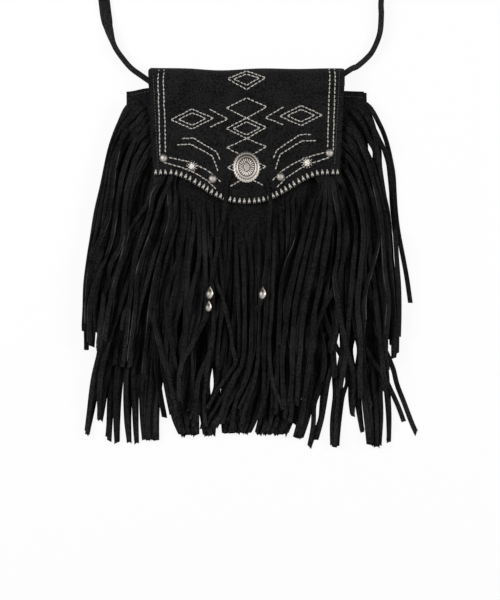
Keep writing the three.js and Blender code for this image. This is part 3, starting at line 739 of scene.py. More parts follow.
MIDDLE = [
    [(-77, 42), (-76, 8), (-76, -25), (-79, -68), (-86, -110), (-89, -150), (-86, -185), (-80, -214)],
    [(-58, 34), (-57, 4), (-57, -30), (-63, -72), (-71, -108), (-76, -145), (-75, -175), (-71, -202)],
    [(-39, 22), (-39, -4), (-39, -35), (-43, -75), (-49, -110), (-57, -145), (-62, -175), (-66, -206)],
    [(-20, 16), (-20, -10), (-20, -40), (-22, -80), (-26, -115), (-32, -150), (-40, -185), (-48, -226)],
    [(0, 14), (0, -13), (0, -45), (1, -85), (1, -120), (-2, -155), (-14, -190), (-31, -224)],
    [(20, 16), (20, -10), (20, -40), (19, -80), (18, -115), (16, -150), (8, -185), (-6, -216)],
    [(39, 22), (39, -4), (38, -35), (36, -75), (34, -110), (31, -145), (28, -180), (25, -212)],
    [(58, 34), (57, 4), (55, -30), (51, -72), (47, -108), (44, -145), (42, -180), (40, -214)],
    [(77, 42), (75, 8), (72, -25), (67, -68), (62, -110), (58, -150), (56, -185), (53, -222)],
]
LOWER = [
    [(-117, 8), (-119, -30), (-126, -70), (-136, -112), (-145, -150), (-152, -180), (-158, -210),
     (-162, -231)],
    [(-104, 8), (-107, -35), (-113, -78), (-121, -120), (-127, -155), (-132, -185), (-135, -215),
     (-137, -236)],
    [(-89, 8), (-91, -35), (-96, -78), (-102, -120), (-107, -155), (-110, -185), (-113, -215),
     (-116, -239)],
    [(-72, 8), (-73, -35), (-77, -78), (-82, -120), (-86, -155), (-88, -185), (-88, -215), (-86, -237)],
    [(-50, 8), (-50, -35), (-53, -78), (-56, -120), (-58, -155), (-58, -185), (-56, -215), (-54, -234)],
    [(-26, 8), (-26, -35), (-26, -78), (-27, -120), (-29, -155), (-30, -185), (-30, -215), (-29, -233)],
    [(0, 8), (0, -35), (0, -78), (0, -120), (-1, -155), (-2, -185), (-3, -215), (-4, -232)],
    [(26, 8), (26, -35), (27, -78), (28, -120), (28, -155), (26, -185), (25, -215), (24, -232)],
    [(50, 8), (51, -35), (52, -78), (51, -120), (50, -155), (48, -185), (47, -215), (47, -236)],
    [(72, 8), (73, -35), (75, -78), (75, -120), (73, -155), (70, -185), (66, -215), (63, -240)],
    [(89, 8), (90, -35), (93, -78), (94, -120), (92, -155), (90, -185), (88, -215), (88, -242)],
    [(104, 8), (105, -35), (108, -78), (113, -120), (118, -155), (121, -185), (124, -215), (126, -243)],
    [(117, 8), (119, -30), (126, -70), (134, -112), (139, -150), (142, -180), (144, -210), (144, -238)],
]
STRAYS_UNDER = [
    [(104, -30), (110, -60), (112, -85), (104, -100), (92, -115), (78, -132), (68, -145), (58, -165)],
    [(70, -20), (72, -60), (76, -100), (84, -130), (96, -155), (112, -175), (120, -190), (124, -205)],
]
# Strands on top, each given one by one: lying flat, and turned on edge
LEFT_FLAT = [
    [(-97, 103), (-112, 101), (-120, 95), (-126, 84), (-132, 70), (-137.5, 52), (-144, 20), (-150, -6),
     (-154, -30), (-158, -56), (-161, -80), (-162, -105), (-163.5, -129)],
    [(-95, 101), (-108, 95), (-117, 87), (-124, 78), (-130.5, 64), (-135.5, 48), (-140.5, 20), (-146, -8),
     (-150, -32), (-156, -58), (-159, -82), (-160, -105), (-159, -128), (-159, -146)],
    [(-90, 99), (-104, 88), (-113, 80), (-121, 71.5), (-128, 60), (-133.5, 44), (-137, 20), (-141.5, -5),
     (-144, -26), (-150, -48), (-156, -72), (-157.5, -95), (-156.5, -116), (-156, -138)],
    [(-84, 99), (-100, 82), (-109, 74.5), (-117, 66), (-124.5, 54), (-129.5, 38), (-133.5, 10), (-137, -14),
     (-142, -38), (-149, -60), (-153.5, -84), (-154, -104), (-152, -122)],
    [(-76, 99), (-94, 78), (-103, 70), (-111, 62), (-119, 49), (-125, 32), (-130, 6), (-132.5, -20),
     (-137, -42), (-145, -64), (-151, -90), (-151.5, -108), (-150, -128)],
    [(-68, 101), (-88, 75), (-98, 64), (-106, 55), (-114, 42), (-120.5, 27), (-126, 6), (-127.5, -18),
     (-131, -40), (-138, -62), (-143, -86), (-146, -110), (-147.5, -134)],
    [(-52, 101), (-74, 60), (-90, 33), (-95, 12), (-103, -10), (-113, -28), (-119, -44), (-125, -58),
     (-131, -76), (-138, -100), (-143, -122), (-147, -148), (-153, -174), (-157, -205), (-160, -230)],
    [(-48, 101), (-70, 58), (-87, 32), (-93, 10), (-97, -8), (-103.5, -30), (-110, -48), (-117, -70),
     (-124, -94), (-131, -115), (-139, -138), (-145, -165), (-148, -192), (-147, -214)],
    [(-33, 101), (-56, 54), (-72, 26), (-71, 4), (-73, -14), (-79, -33), (-84, -54), (-89, -74),
     (-92.5, -94), (-93, -112), (-89, -132), (-84, -152), (-77, -172), (-72, -198)],
    [(-56, 101), (-77, 62), (-89, 36), (-91, 20), (-97, 4), (-106, -9), (-116, -22), (-124, -38),
     (-132, -52), (-137.5, -68), (-141, -84), (-143.5, -98), (-144, -112), (-146, -130)],
    [(-38, 101), (-60, 56), (-78, 30), (-80, 8), (-81, -13), (-87, -34), (-93, -54), (-99, -76),
     (-105, -96), (-110, -114), (-116, -132), (-121, -147), (-124.6, -164)],
]
LEFT_EDGED = [
    [(-62, 101), (-84, 66), (-100, 44), (-112, 24), (-119.5, 9), (-122.5, -4), (-121.5, -17), (-119, -28),
     (-124, -48), (-130, -70), (-134, -95), (-138, -120)],
    [(-43, 101), (-65, 57), (-82, 30), (-84, 12), (-90.6, -8.5), (-97, -30), (-103, -50), (-108, -70),
     (-111.5, -88), (-113, -104), (-115, -122), (-119, -145)],
    [(-36, 101), (-58, 55), (-76, 28), (-77, 6), (-76, -12), (-82, -36), (-88, -58), (-93, -80),
     (-96, -100), (-98, -120), (-101, -145), (-103, -170)],
    [(-50, 101), (-68, 62), (-82, 32), (-90, 15), (-93.4, 9), (-95.6, -6), (-99.4, -19.5), (-103.1, -30),
     (-107.6, -42), (-110.6, -51), (-112.5, -66), (-115, -84), (-117.5, -104), (-119, -124), (-121, -146)],
    [(-46, 101), (-62, 60), (-74, 30), (-82.9, 10.5), (-88.1, -4.5), (-92.6, -19.5), (-97.1, -33),
     (-101.6, -45), (-106.1, -57), (-109.1, -69), (-109.9, -81), (-111, -98), (-113, -118), (-116, -140),
     (-118, -158)],
    [(-66, 101), (-88, 70), (-104, 44), (-114, 18), (-118.5, -6), (-119.5, -26), (-121.5, -42),
     (-124.9, -55.5), (-126.4, -63), (-129.4, -73.5), (-132.4, -85.5), (-136, -100), (-139, -118),
     (-141, -138)],
    [(-92, 101), (-112, 88), (-124, 68), (-131, 40), (-134, 16), (-136.5, -2), (-139.1, -15),
     (-145.1, -31.5), (-151.9, -45), (-155.6, -57), (-158.5, -78), (-160, -98), (-160.5, -120)],
    [(-84, 101), (-104, 78), (-116, 56), (-124, 30), (-128, 8), (-131, -14), (-134.5, -34), (-142.1, -55.5),
     (-148.1, -69), (-152.6, -82.5), (-156.4, -99), (-157, -118), (-157, -140)],
    [(-72, 101), (-92, 74), (-108, 50), (-117, 24), (-121.5, 0), (-122.5, -22), (-124.5, -36),
     (-127.9, -45), (-135.4, -58.5), (-137.6, -69), (-139.1, -79.5), (-142.9, -88.5), (-143.9, -102),
     (-146, -124), (-148, -146)],
]
RIGHT_FLAT = [
    [(93, 102), (108, 100), (118, 91), (125, 79), (129, 67), (130.3, 56), (132, 46), (134.2, 31),
     (136.2, 17), (139, 5), (142, -10), (144.5, -36), (146, -58), (149, -76), (151, -95), (151.5, -115),
     (151, -152)],
    [(80, 101), (92, 84), (100, 76), (108, 70), (115, 62), (121, 51), (126.5, 38), (131, 20), (135.5, 0),
     (140.5, -25), (142.5, -52), (145, -80), (147, -108), (147, -135), (147, -156)],
    [(74, 101), (88, 80), (98, 69), (106, 62), (113, 54), (118.5, 42), (123, 25), (127, 4), (132, -18),
     (136, -44), (138.5, -70), (141, -96), (140, -118), (138, -140), (141, -165)],
    [(66, 101), (84, 74), (97, 60), (105, 53), (111.5, 44), (116.5, 30), (119.5, 12), (121, -6), (122, -30),
     (124, -56), (128, -80), (130, -104), (133, -130), (136, -160), (138, -190)],
    [(62, 101), (82, 68), (97, 52), (105, 43), (111, 32), (115, 14), (118, -12), (119, -36), (117, -58),
     (117.5, -78), (116.5, -98), (117, -116), (115.5, -135), (117, -157), (116.5, -180), (119, -205),
     (123, -238)],
    [(58, 101), (78, 64), (91, 44), (99, 35), (105.5, 25), (110.5, 12), (114.5, -5), (116.5, -24),
     (116, -44), (114, -64), (112, -84), (111, -104), (113, -124), (114, -146), (113, -170), (114, -196)],
    [(53, 101), (74, 57), (88, 34), (95, 21), (101, 9), (106.5, -6), (110, -24), (109, -42), (107, -58),
     (105.5, -80), (104, -98), (102.5, -116), (101, -133), (100, -152), (97, -168), (94, -186)],
    [(48, 101), (70, 54), (86, 28), (90.5, 10), (95, -6), (100, -26), (98, -48), (93, -68), (86, -86),
     (78, -102), (71.5, -116), (68, -132), (65, -150), (62, -175), (60, -205)],
    [(33, 101), (56, 48), (74, 20), (65, -2), (58, -26), (51, -52), (46, -78), (41, -104), (38, -128),
     (36, -150), (36, -172), (38, -205)],
    [(36, 101), (59, 50), (77, 24), (71, 2), (66, -20), (60, -46), (54, -72), (49, -98), (47, -122),
     (46, -146), (46, -170), (43, -200)],
    [(39, 101), (62, 52), (79, 26), (78, 6), (76, -16), (71, -42), (66, -66), (60, -92), (56, -116),
     (54, -140), (52, -165), (50, -200)],
    [(43, 101), (66, 54), (82, 28), (83.5, 8), (83, -18), (80, -42), (76, -64), (72, -84), (67.5, -107),
     (66, -126), (64, -146), (60, -170), (57, -196), (52, -225)],
    [(97, 103), (112, 104), (122, 99), (130, 87), (136, 75.5), (140.5, 63), (144.5, 46), (147.2, 30),
     (148.3, 12), (149.2, -2), (150.6, -16), (152.4, -29), (154.6, -41), (160, -70), (164, -98)],
    [(97, 101), (112, 97), (121, 87), (127.5, 75), (133, 63.5), (138.5, 53), (142, 42), (143.5, 30),
     (145, 15), (146, 0), (148, -18), (149, -33), (150.5, -56), (152.5, -82), (153, -108), (152.5, -132)],
]
RIGHT_EDGED = [
    [(76, 101), (93, 76), (106, 57), (116, 40), (122, 20), (127, 2), (131, -12), (132.5, -26), (131.5, -40),
     (128, -54), (124, -68), (120, -82), (117.5, -98), (118, -118)],
    [(45, 101), (68, 54), (84, 28), (88, 8), (92, -16), (92.5, -34), (90.5, -54), (87.6, -70), (89, -85),
     (92, -103), (95, -120), (98.5, -137), (103, -154), (107, -168), (107.5, -188), (106.4, -212)],
    [(84, 101), (100, 84), (112, 66), (120, 46), (126, 26), (131, 4), (135, -20), (137, -46), (139, -72),
     (142, -94), (141, -114), (139, -132)],
]
MIDDLE_FLAT = [
    [(-70, 40), (-69, 8), (-70, -17), (-77, -44), (-84, -71), (-89, -92), (-90, -110), (-87, -137),
     (-81, -163), (-74, -190), (-71, -205)],
    [(-62, 36), (-61, 5), (-62, -24), (-68, -52), (-76, -77), (-80, -96), (-79.6, -113), (-75.5, -137),
     (-71.6, -158), (-69, -178), (-69, -196)],
    [(-50, 28), (-49, 0), (-47, -30), (-48, -56), (-54, -81), (-58, -106), (-61, -128), (-64, -148),
     (-66, -170), (-66, -200)],
    [(-44, 26), (-43, 0), (-42, -40), (-40, -80), (-41, -108), (-46, -124), (-55, -142), (-63, -156),
     (-66.5, -172), (-66, -196)],
    [(-38, 22), (-37, -5), (-36, -45), (-34, -85), (-33, -118), (-34, -134), (-38, -154), (-41, -174),
     (-43, -196), (-41, -222)],
    [(-30, 20), (-29, -5), (-28, -40), (-25, -70), (-24, -100), (-27, -125), (-29, -146), (-29, -162)],
    [(-12, 15), (-11, -10), (-10, -50), (-8, -100), (-6, -140), (-9, -156), (-19, -171), (-30, -186),
     (-40, -204)],
    [(-4, 15), (-4, -12), (-3, -60), (-2, -120), (-3.7, -156), (-11, -172), (-20, -192), (-26, -212)],
    [(4, 14), (4, -12), (5, -60), (5, -120), (3.4, -156), (-2, -178), (-11, -197), (-15, -224)],
    [(12, 15), (12, -12), (13, -60), (13, -120), (10.5, -160), (7, -181), (0, -200), (-6, -222)],
    [(28, 18), (28, -8), (27, -60), (25, -110), (22, -140), (24, -164), (28.5, -185), (38, -205)],
    [(20, 16), (20, -8), (20, -60), (19, -110), (17, -145), (17.5, -175), (16, -200), (12, -222)],
    [(-33, -20), (-32, -45), (-30.5, -76), (-24.3, -92), (-19.8, -110), (-16, -126), (-13.6, -142),
     (-10, -156)],
]
MIDDLE_EDGED = [
    [(58, 30), (56, 4), (52, -22), (48, -40), (41, -56), (36.5, -72), (34.5, -88), (33, -110), (32, -140)],
    [(62, 40), (60, 0), (56, -40), (51, -70), (46.5, -95), (43.6, -117), (43.6, -133), (47.5, -150),
     (53.4, -164)],
]
LOWER_FLAT = [
    [(108, -20), (113, -50), (121, -77), (125, -98), (129, -119), (135, -137), (141, -150), (147, -164),
     (151, -180), (158, -198), (166, -219), (171, -230)],
    [(100, -25), (106, -60), (111, -95), (115, -125), (119, -143), (128, -158), (137, -170), (144, -185),
     (151.4, -201), (158, -219)],
]

# Bunches that the lower strip's tips fall into: from x, to x, tip y, strands
BUNCHES = np.array([
    (-162.5, -158, -231, 1), (-150, -143.6, -215.5, 2), (-140, -136, -236.5, 1),
    (-132.8, -126.5, -239.5, 1.3), (-120.6, -115, -238, 1.5), (-113, -107.6, -239, 1.5),
    (-106, -85.5, -236, 5), (-68, -47, -231, 5), (-44, -31, -231, 3), (-27, 3, -229, 7), (7, 43, -230, 8),
    (45, 58, -234, 3), (60.3, 65.3, -243, 1), (67.2, 71.6, -235.6, 1), (83.6, 93, -242.5, 2),
    (104.3, 108.7, -212, 1), (113.8, 118.8, -228, 1.2), (120, 136, -242, 4), (140.2, 145.2, -238, 1),
])

# Gaps in the fringe: x, y, half width, half height. The first part every layer, the second those on top
GAPS_THROUGH = [
    (-34.6, -179, 1.2, 14), (91.4, -142, 2.4, 20), (108.4, -145, 1.8, 13), (85.4, -186, 0.7, 18),
    (97.4, -176, 1.0, 10), (71, -206, 1.3, 18), (124, 53, 2.0, 8),
]
GAPS_ON_TOP = [
    (-66.6, -123, 2.4, 16), (-45, -143, 5.5, 18), (-101.6, -113, 1.8, 20), (-69.6, -161, 1.8, 16),
    (80.8, -120, 5, 18), (54, -141, 2.8, 17), (37, -178, 3.0, 20), (71, -157, 3.0, 18),
]

# The field of heights that strands are laid on: its lowest corner and its cells, 1 mm apart
FIELD_LOW = np.array([-195.0, -262.0])
FIELD_SIZE = (400, 400)
GROUND_GAP = 0.2
SINK = 0.2

# How strands part, clump, swing, drift and turn on edge, and how much painted shade darkens their sides
SECTIONS = 62
HALF_STRAND = 2.4
GAP_REACH = 26
CLUMP = 4
SWINGS = ((3.0, (0.6, 1.5)), (0.9, (1.8, 3.2)))
DRIFT = 6.0
TURN_SIZES = [6, 26, 58]
TURN_SHARES = [0.4, 0.36, 0.24]
EDGE_SHADE = 0.4

# How the pile is pressed down, and the room for it under the flap and in the open
EVENED = 43
TOP_LAYERS = 7.0
SQUEEZE = 0.3
ROOM_UNDER_FLAP = 7.4
ROOM_IN_OPEN = 26.0
FLAP_SHADOW = 12


def bunched_tips(routes, share):
    """Routes bent over their lower half to the tips' bunches, each taking its turn from left to right."""
    ends = np.cumsum(BUNCHES[:, 3]) / BUNCHES[:, 3].sum()
    starts = np.concatenate([[0], ends[:-1]])
    marks = np.stack([starts + 1e-6, ends], 1).ravel()
    turn = np.linspace(0, 1, len(routes))
    inset = np.minimum(HALF_STRAND, (BUNCHES[:, 1] - BUNCHES[:, 0]) / 2)[:, None] * [1, -1]
    tips = np.stack([np.interp(turn, marks, (BUNCHES[:, :2] + inset).ravel()),
                     np.interp(turn, marks, BUNCHES[:, 2].repeat(2))], 1)
    bend = share * np.linspace(-0.6, 1, routes.shape[1]).clip(0) ** 2
    return routes + bend[None, :, None] * (tips - routes[:, -1])[:, None]


def drawn_aside(plan, gaps):
    """Strands parted round gaps. Beside a gap a strand's distance from its axis goes to the root of its own
    square and the gap's square; above and below, this fades as a bell."""
    for x, y, half, tall in gaps:
        away = plan[..., 0] - x
        beside = np.exp(-((plan[..., 1] - y) / tall) ** 2) * np.exp(-(away / GAP_REACH) ** 2)
        side = np.where((beside * away).sum(1) < 0, -1, 1)[:, None]
        parted = side * np.hypot(np.maximum(side * away, 0), half + HALF_STRAND)
        plan[..., 0] += beside * (parted - away)
    return plan


def sideways_of(plan):
    """Unit vectors square to routes in plan."""
    heading = unit(np.gradient(plan, axis=1))
    return np.stack([-heading[..., 1], heading[..., 0]], -1)


def clump_pull(rng, share, pitch, gather):
    """How far strands are drawn aside to the middle of the nearest clump: a random part of the way, which
    grows down the strand and eases at its tip."""
    count = len(pitch)
    own = np.arange(count) + 0.5
    middles = np.sort(rng.uniform(0, count, max(1, round(count / CLUMP))))
    nearest = middles[np.abs(own[:, None] - middles[None]).argmin(1)]
    pull = gather * rng.uniform(0.3, 1, (count, 1)) * np.clip(nearest - own, -3, 3)[:, None] * pitch
    return pull * (smooth(0.2, 0.7, share) * (1 - 0.4 * smooth(0.75, 1, share)))


def sway(rng, count, share):
    """How far strands swing aside: a slow and a quick sine of random size, cycles and start, less of them
    near the root, and a drift that grows as a power of the way down."""
    swing = sum(rng.normal(0, size, (count, 1)) * np.sin(
        2 * np.pi * (rng.uniform(*cycles, (count, 1)) * share + rng.uniform(0, 1, (count, 1))))
        for size, cycles in SWINGS)
    drift = rng.normal(0, DRIFT, (count, 1)) * share ** 2.2
    return swing * (0.3 + 0.7 * share) + drift


def liveliness(count, calm):
    """How much of the sway each strand has: little at a strip's calm ends, all of it three strands away."""
    own = np.arange(count) + 0.5
    ends = {"first": 0.5, "last": count - 0.5}
    away = np.min([np.abs(own - ends[end]) for end in calm] or [own + count], axis=0)
    return mix(0.1, 1, smooth(0, 3, away))[:, None]


def edge_turn(rng, share, free, lively, lean):
    """The angle by which each strand turns about its own length, to a random side: one of three sizes, or
    one in the range of the lean, from a random place on, eased back by a slow cosine."""
    count = len(free)
    size = np.radians(rng.choice(TURN_SIZES, (count, 1), p=TURN_SHARES)) * min(1, 1.2 * lively)
    if lean:
        size = np.radians(rng.uniform(*lean, (count, 1)))
    start = rng.uniform(0.02, 0.2 if lean else 0.5, (count, 1))
    turn = size * rng.choice([-1, 1], (count, 1)) * free
    turn = turn * smooth(start, start + 0.25, share)
    return turn * np.cos(2 * np.pi * rng.uniform(0.1, 0.5, (count, 1)) * (share - start))


def strand_family(rng, guides, count, width, thickness, slit=(0.03, 0.06), crown=0.0, loose=0.02, lively=0.4,
                  gather=0.0, wide=1.0, stout=1.0, shade=1.0, edge_highlight_share=0.42, bevel=0.45, bunched=0.0, gaps=(),
                  calm=(), lean=None):
    """Strands between guides. A strand at a place between two guides takes the same share of both. It is one
    with its neighbours down to its slit, which starts higher at the sides of a crowned strip. From there on
    it is drawn towards the middle of its clump, sways and turns on edge. Loose strands are shorter, lively
    ones sway more and calm ends don't, gather draws them to clumps and bunched to the tips' bunches; wide,
    stout and shade are shares of width, thickness and the strand's own random tones, where shade is painted
    shade that makes deeper layers darker and top ones lighter; the cut edges' share sets how strongly they
    take a painted highlight, and lean is a range of degrees."""
    laid = np.array(guides, float)
    spot = np.linspace(0, len(guides) - 1, count)
    index = np.minimum(spot.astype(int), len(guides) - 2)
    routes = mix(laid[index], laid[index + 1], (spot - index)[:, None, None])
    if bunched:
        routes = bunched_tips(routes, bunched)
    share = np.linspace(0, 1, SECTIONS)[None]
    reach = 1 - rng.uniform(0, loose, (count, 1))
    plan = catmull(routes, share * reach * (laid.shape[1] - 1))
    starts = rng.uniform(*slit, (count, 1)) - crown * smooth(12, 50, np.abs(plan[:, :1, 0]))
    free = smooth(starts, starts + 0.22, share)
    slitted = smooth(starts, starts + 0.06, share)
    pitch = np.linalg.norm(np.gradient(plan, axis=0), axis=2) if count > 1 else np.zeros((1, SECTIONS))
    pull = clump_pull(rng, share, pitch, gather)
    swing = lively * liveliness(count, calm) * sway(rng, count, share)
    held = 1 - 0.85 * bunched * smooth(0.45, 0.95, share)
    plan = plan + (held * free * (pull + swing))[..., None] * sideways_of(plan)
    plan = drawn_aside(plan, gaps)
    turn = edge_turn(rng, share, free, lively, lean)
    widths = wide * width * rng.uniform(0.86, 1.04, (count, 1))
    widths = widths * (1 - 0.14 * bunched * smooth(0.5, 1, share))
    return {
        "plan": plan, "free": free, "turn": turn, "thickness": thickness * stout,
        "width": mix(np.maximum(1.05 * pitch, width), widths, slitted), "slitted": slitted,
        # Each strand's random tone times its layer's shade, which is painted shade
        "edge_highlight_share": edge_highlight_share, "bevel": bevel, "tone": shade * rng.uniform(0.75, 1.25, count),
        "slant": rng.normal(0, 0.55, count),
    }


def drape(field, strands, head, order):
    """Lays strands one by one on a field of heights. A strand rests on the highest place under its width,
    smoothed along its length, and then raises the field to its own top."""
    plan, turn = strands["plan"], strands["turn"]
    width, thick = strands["width"], strands["thickness"]
    tall = width * np.abs(np.sin(turn)) + thick * np.abs(np.cos(turn))
    half = (width * np.abs(np.cos(turn)) + thick * np.abs(np.sin(turn))) / 2
    sideways = sideways_of(plan)
    fine = 4
    steps = np.linspace(0, SECTIONS - 1, (SECTIONS - 1) * fine + 1)
    centre = np.empty(plan.shape[:2])

    def refined(values):
        return np.interp(steps, np.arange(SECTIONS), values)

    def cells(line, side, spread):
        at = line[:, None] + side[:, None] * spread[..., None]
        cell = np.clip(np.rint(at - FIELD_LOW).astype(int), 0, np.array(FIELD_SIZE) - 1)
        return cell[..., 0], cell[..., 1]

    for i in order:
        line = np.stack([refined(plan[i, :, k]) for k in (0, 1)], 1)
        side = np.stack([refined(sideways[i, :, k]) for k in (0, 1)], 1)
        reach = refined(half[i])[:, None]
        under = field[cells(line, side, reach * np.linspace(-0.62, 0.62, 5))].max(1)
        sewn = lie(line[:, 0], line[:, 1]) + head
        rest = mix(sewn, eased_over(under, 2 * fine), smooth(0, 0.5, refined(strands["free"][i])))
        top = rest + refined(tall[i])
        centre[i] = (rest + top)[::fine] / 2
        where = cells(line, side, reach * np.linspace(-1, 1, 7))
        np.maximum.at(field, where, np.broadcast_to(top[:, None] - SINK, where[0].shape))
    return centre


def bare_field():
    """The height of what the fringe lies on, at every cell of the field."""
    x, y = [low + np.arange(size) for low, size in zip(FIELD_LOW, FIELD_SIZE)]
    return lie(*np.meshgrid(x, y, indexing="ij"))


def pile_depth(field):
    """How deep the pile is over what it lies on, evened out by a bell along both axes."""
    depth = field - bare_field()
    bell = np.hanning(EVENED)[1:-1]
    for axis in (0, 1):
        depth = np.apply_along_axis(np.convolve, axis, depth, bell / bell.sum(), "same")
    return depth


def between_cells(field, x, y):
    """A field's value at places between its cells, by shares of the four nearest."""
    u = np.clip(x - FIELD_LOW[0], 0, FIELD_SIZE[0] - 1.001)
    v = np.clip(y - FIELD_LOW[1], 0, FIELD_SIZE[1] - 1.001)
    i, j = u.astype(int), v.astype(int)
    near = mix(field[i, j], field[i + 1, j], u - i)
    return mix(near, mix(field[i, j + 1], field[i + 1, j + 1], u - i), v - j)


def settle(points, depth):
    """Presses the pile down without crossing strands. What lies deeper than the top layers is squeezed to a
    share of its height. Then a height is divided by the fourth root of one plus the fourth power of its
    share of a limit, which is low under the flap."""
    x, y, z = points[..., 0], points[..., 1], points[..., 2]
    outside = np.maximum(np.abs(x) - flap_half(y), flap_edge(x) - y)
    limit = mix(ROOM_UNDER_FLAP, ROOM_IN_OPEN, smooth(0, FLAP_SHADOW, outside))
    ground = lie(x, y)
    height = np.maximum(z - ground, 0)
    buried = np.maximum(between_cells(depth, x, y) - np.minimum(TOP_LAYERS, limit / 2), 0)
    squeeze = SQUEEZE * np.minimum(1, limit / np.maximum(buried, 1))
    pressed = squeeze * np.minimum(height, buried) + np.maximum(height - buried, 0)
    return np.stack([x, y, ground + pressed / (1 + (pressed / limit) ** 4) ** 0.25], -1)


def strand_shape(strands, centre):
    """Flat strands along their draped routes, with slanting cut ends."""
    path = np.concatenate([strands["plan"], centre[..., None]], -1)
    tangent, across, up = along_path(path, np.array([0, 0, 1.0]))
    across, up = turned_by(across, up, strands["turn"])
    thick = np.full_like(centre, strands["thickness"])
    bevel = strands["bevel"] * strands["thickness"] * strands["slitted"]
    rings = ribbon_rings(path, across, up, strands["width"], thick, bevel)
    from_middle = np.einsum("nkj,nj->nk", rings[:, -1] - path[:, -1:], across[:, -1])
    rings[:, -1] += (from_middle * strands["slant"][:, None])[..., None] * tangent[:, -1:]
    return rings


def strand_colours(strands, head_tone):
    """How strongly each corner of the strands takes a painted highlight, on its cut edges only; and its
    shade of colour, which goes from the strip's head to the strand's own with its layer's painted shade,
    paler towards the tip as painted light bounced up from the floor, and darker on the edges from the slit
    on as painted shade."""
    free = strands["free"]
    cut = CUT_EDGE * strands["edge_highlight_share"] * smooth(0.3, 0.9, free)[..., None]
    # Paler towards the tip: painted light bounced up from the floor
    paler = strands["tone"][:, None] * mix(1, 1.25, smooth(0.6, 1, np.linspace(0, 1, SECTIONS)))
    tone = mix(head_tone, paler, smooth(0.1, 0.95, free))
    # Darker sides from the slit on: painted shade between the strands
    return cut, tone[..., None] * (1 - EDGE_SHADE * CUT_EDGE * strands["slitted"][..., None])


# What several layers have in common, and the tone of each strip's uncut head
ALL_GAPS = GAPS_THROUGH + GAPS_ON_TOP
LOWER_FALL = dict(bunched=1.0, gaps=ALL_GAPS)
MIDDLE_CUT = dict(slit=(0.12, 0.22), crown=0.09)
# Strands turned on edge take strong painted highlights on their cut edges
ON_EDGE = dict(lively=0.1, lean=(48, 62), edge_highlight_share=1.4, bevel=0.22)
# Heads give way down each strand to its own tones and painted shade; the upper strips' heads are set lighter
# than the others, as painted light against the flap's shadow
HEAD_TONE = {
    "fringe_lower": 0.7, "fringe_middle": 0.7, "fringe_upper_left": 1.08, "fringe_upper_right": 0.92,
}
# Layers from the lowest up: strip, guides, strands (0: one on each guide), height of the seam, how they fall
# Each manner's shade is painted shade: deeper layers darker, the top ones lighter
LAYERS = [
    ("fringe_lower", LOWER, 84, 0.2,
     dict(lively=0.06, wide=1.1, shade=0.92, bunched=1.0, gaps=GAPS_THROUGH)),
    ("fringe_lower", LOWER, 42, 1.6, dict(loose=0.04, lively=0.5, gather=0.3, shade=0.95, **LOWER_FALL)),
    ("fringe_lower", LOWER, 26, 2.6, dict(loose=0.1, lively=0.7, gather=0.2, **LOWER_FALL)),
    ("fringe_lower", STRAYS_UNDER, 0, 0.4, dict()),
    ("fringe_middle", MIDDLE, 31, 3.0, dict(gather=0.1, wide=1.06, shade=0.85, gaps=ALL_GAPS, **MIDDLE_CUT)),
    ("fringe_middle", MIDDLE, 26, 4.4,
     dict(loose=0.1, lively=1.0, gather=0.35, wide=0.9, shade=0.9, gaps=ALL_GAPS, **MIDDLE_CUT)),
    ("fringe_middle", MIDDLE_FLAT, 0, 4.6, dict(lively=0.15, wide=0.88, lean=(6, 30), **MIDDLE_CUT)),
    ("fringe_middle", MIDDLE_EDGED, 0, 4.6, dict(slit=(0.1, 0.2), **ON_EDGE)),
    ("fringe_upper_left", UPPER_LEFT, 26, 0.5,
     dict(loose=0.2, lively=0.1, wide=1.18, shade=0.8, calm=("first",))),
    ("fringe_upper_right", UPPER_RIGHT, 26, 0.5,
     dict(loose=0.2, lively=0.1, wide=1.05, shade=0.6, calm=("last",), gaps=ALL_GAPS)),
    ("fringe_upper_left", UPPER_LEFT, 12, 1.9,
     dict(loose=0.2, lively=0.8, gather=0.1, shade=0.96, stout=1.2, calm=("first",))),
    ("fringe_upper_right", UPPER_RIGHT, 11, 1.9,
     dict(loose=0.2, lively=0.8, gather=0.1, shade=0.84, stout=1.2, calm=("last",), gaps=ALL_GAPS)),
    ("fringe_lower", LOWER_FLAT, 0, 2.6, dict(lively=0.1, lean=(10, 35))),
    ("fringe_upper_left", LEFT_FLAT, 0, 3.0, dict(lively=0.12, shade=1.15, stout=1.25, lean=(8, 32))),
    ("fringe_upper_left", LEFT_EDGED, 0, 3.2, dict(stout=1.1, **ON_EDGE)),
    ("fringe_upper_right", RIGHT_FLAT, 0, 3.0, dict(lively=0.12, wide=1.05, stout=1.3, lean=(8, 32))),
    ("fringe_upper_right", RIGHT_EDGED, 0, 3.2, dict(stout=1.1, **ON_EDGE)),
]


@functools.lru_cache(maxsize=None)
def fringe(seed, width, thickness):
    """All the strips of fringe, laid from the lowest up: each strip's rings, the painted highlights on their
    cut edges and their tones with painted shade, and the pile's field of heights and its depth."""
    rng = np.random.default_rng(seed)
    field = bare_field() + GROUND_GAP
    strips = {}
    for name, guides, count, head, manner in LAYERS:
        families = [guides] if count else [[guide, guide] for guide in guides]
        for routes in families:
            strands = strand_family(rng, routes, count or 1, width, thickness, **manner)
            centre = drape(field, strands, head, rng.permutation(count or 1))
            made = strand_shape(strands, centre), *strand_colours(strands, HEAD_TONE[name])
            strips.setdefault(name, []).append(made)
    depth = pile_depth(field)
    joined = {}
    for name, families in strips.items():
        rings, cut, tone = [np.concatenate(part) for part in zip(*families)]
        joined[name] = settle(rings, depth), cut, tone
    return joined, (field, depth)


def fringe_of(context):
    """The fringe at the sizes set."""
    sizes = context.scene.bag_sizes
    return fringe(sizes.seed, sizes.strand_width / MM, sizes.strand_thickness / MM)


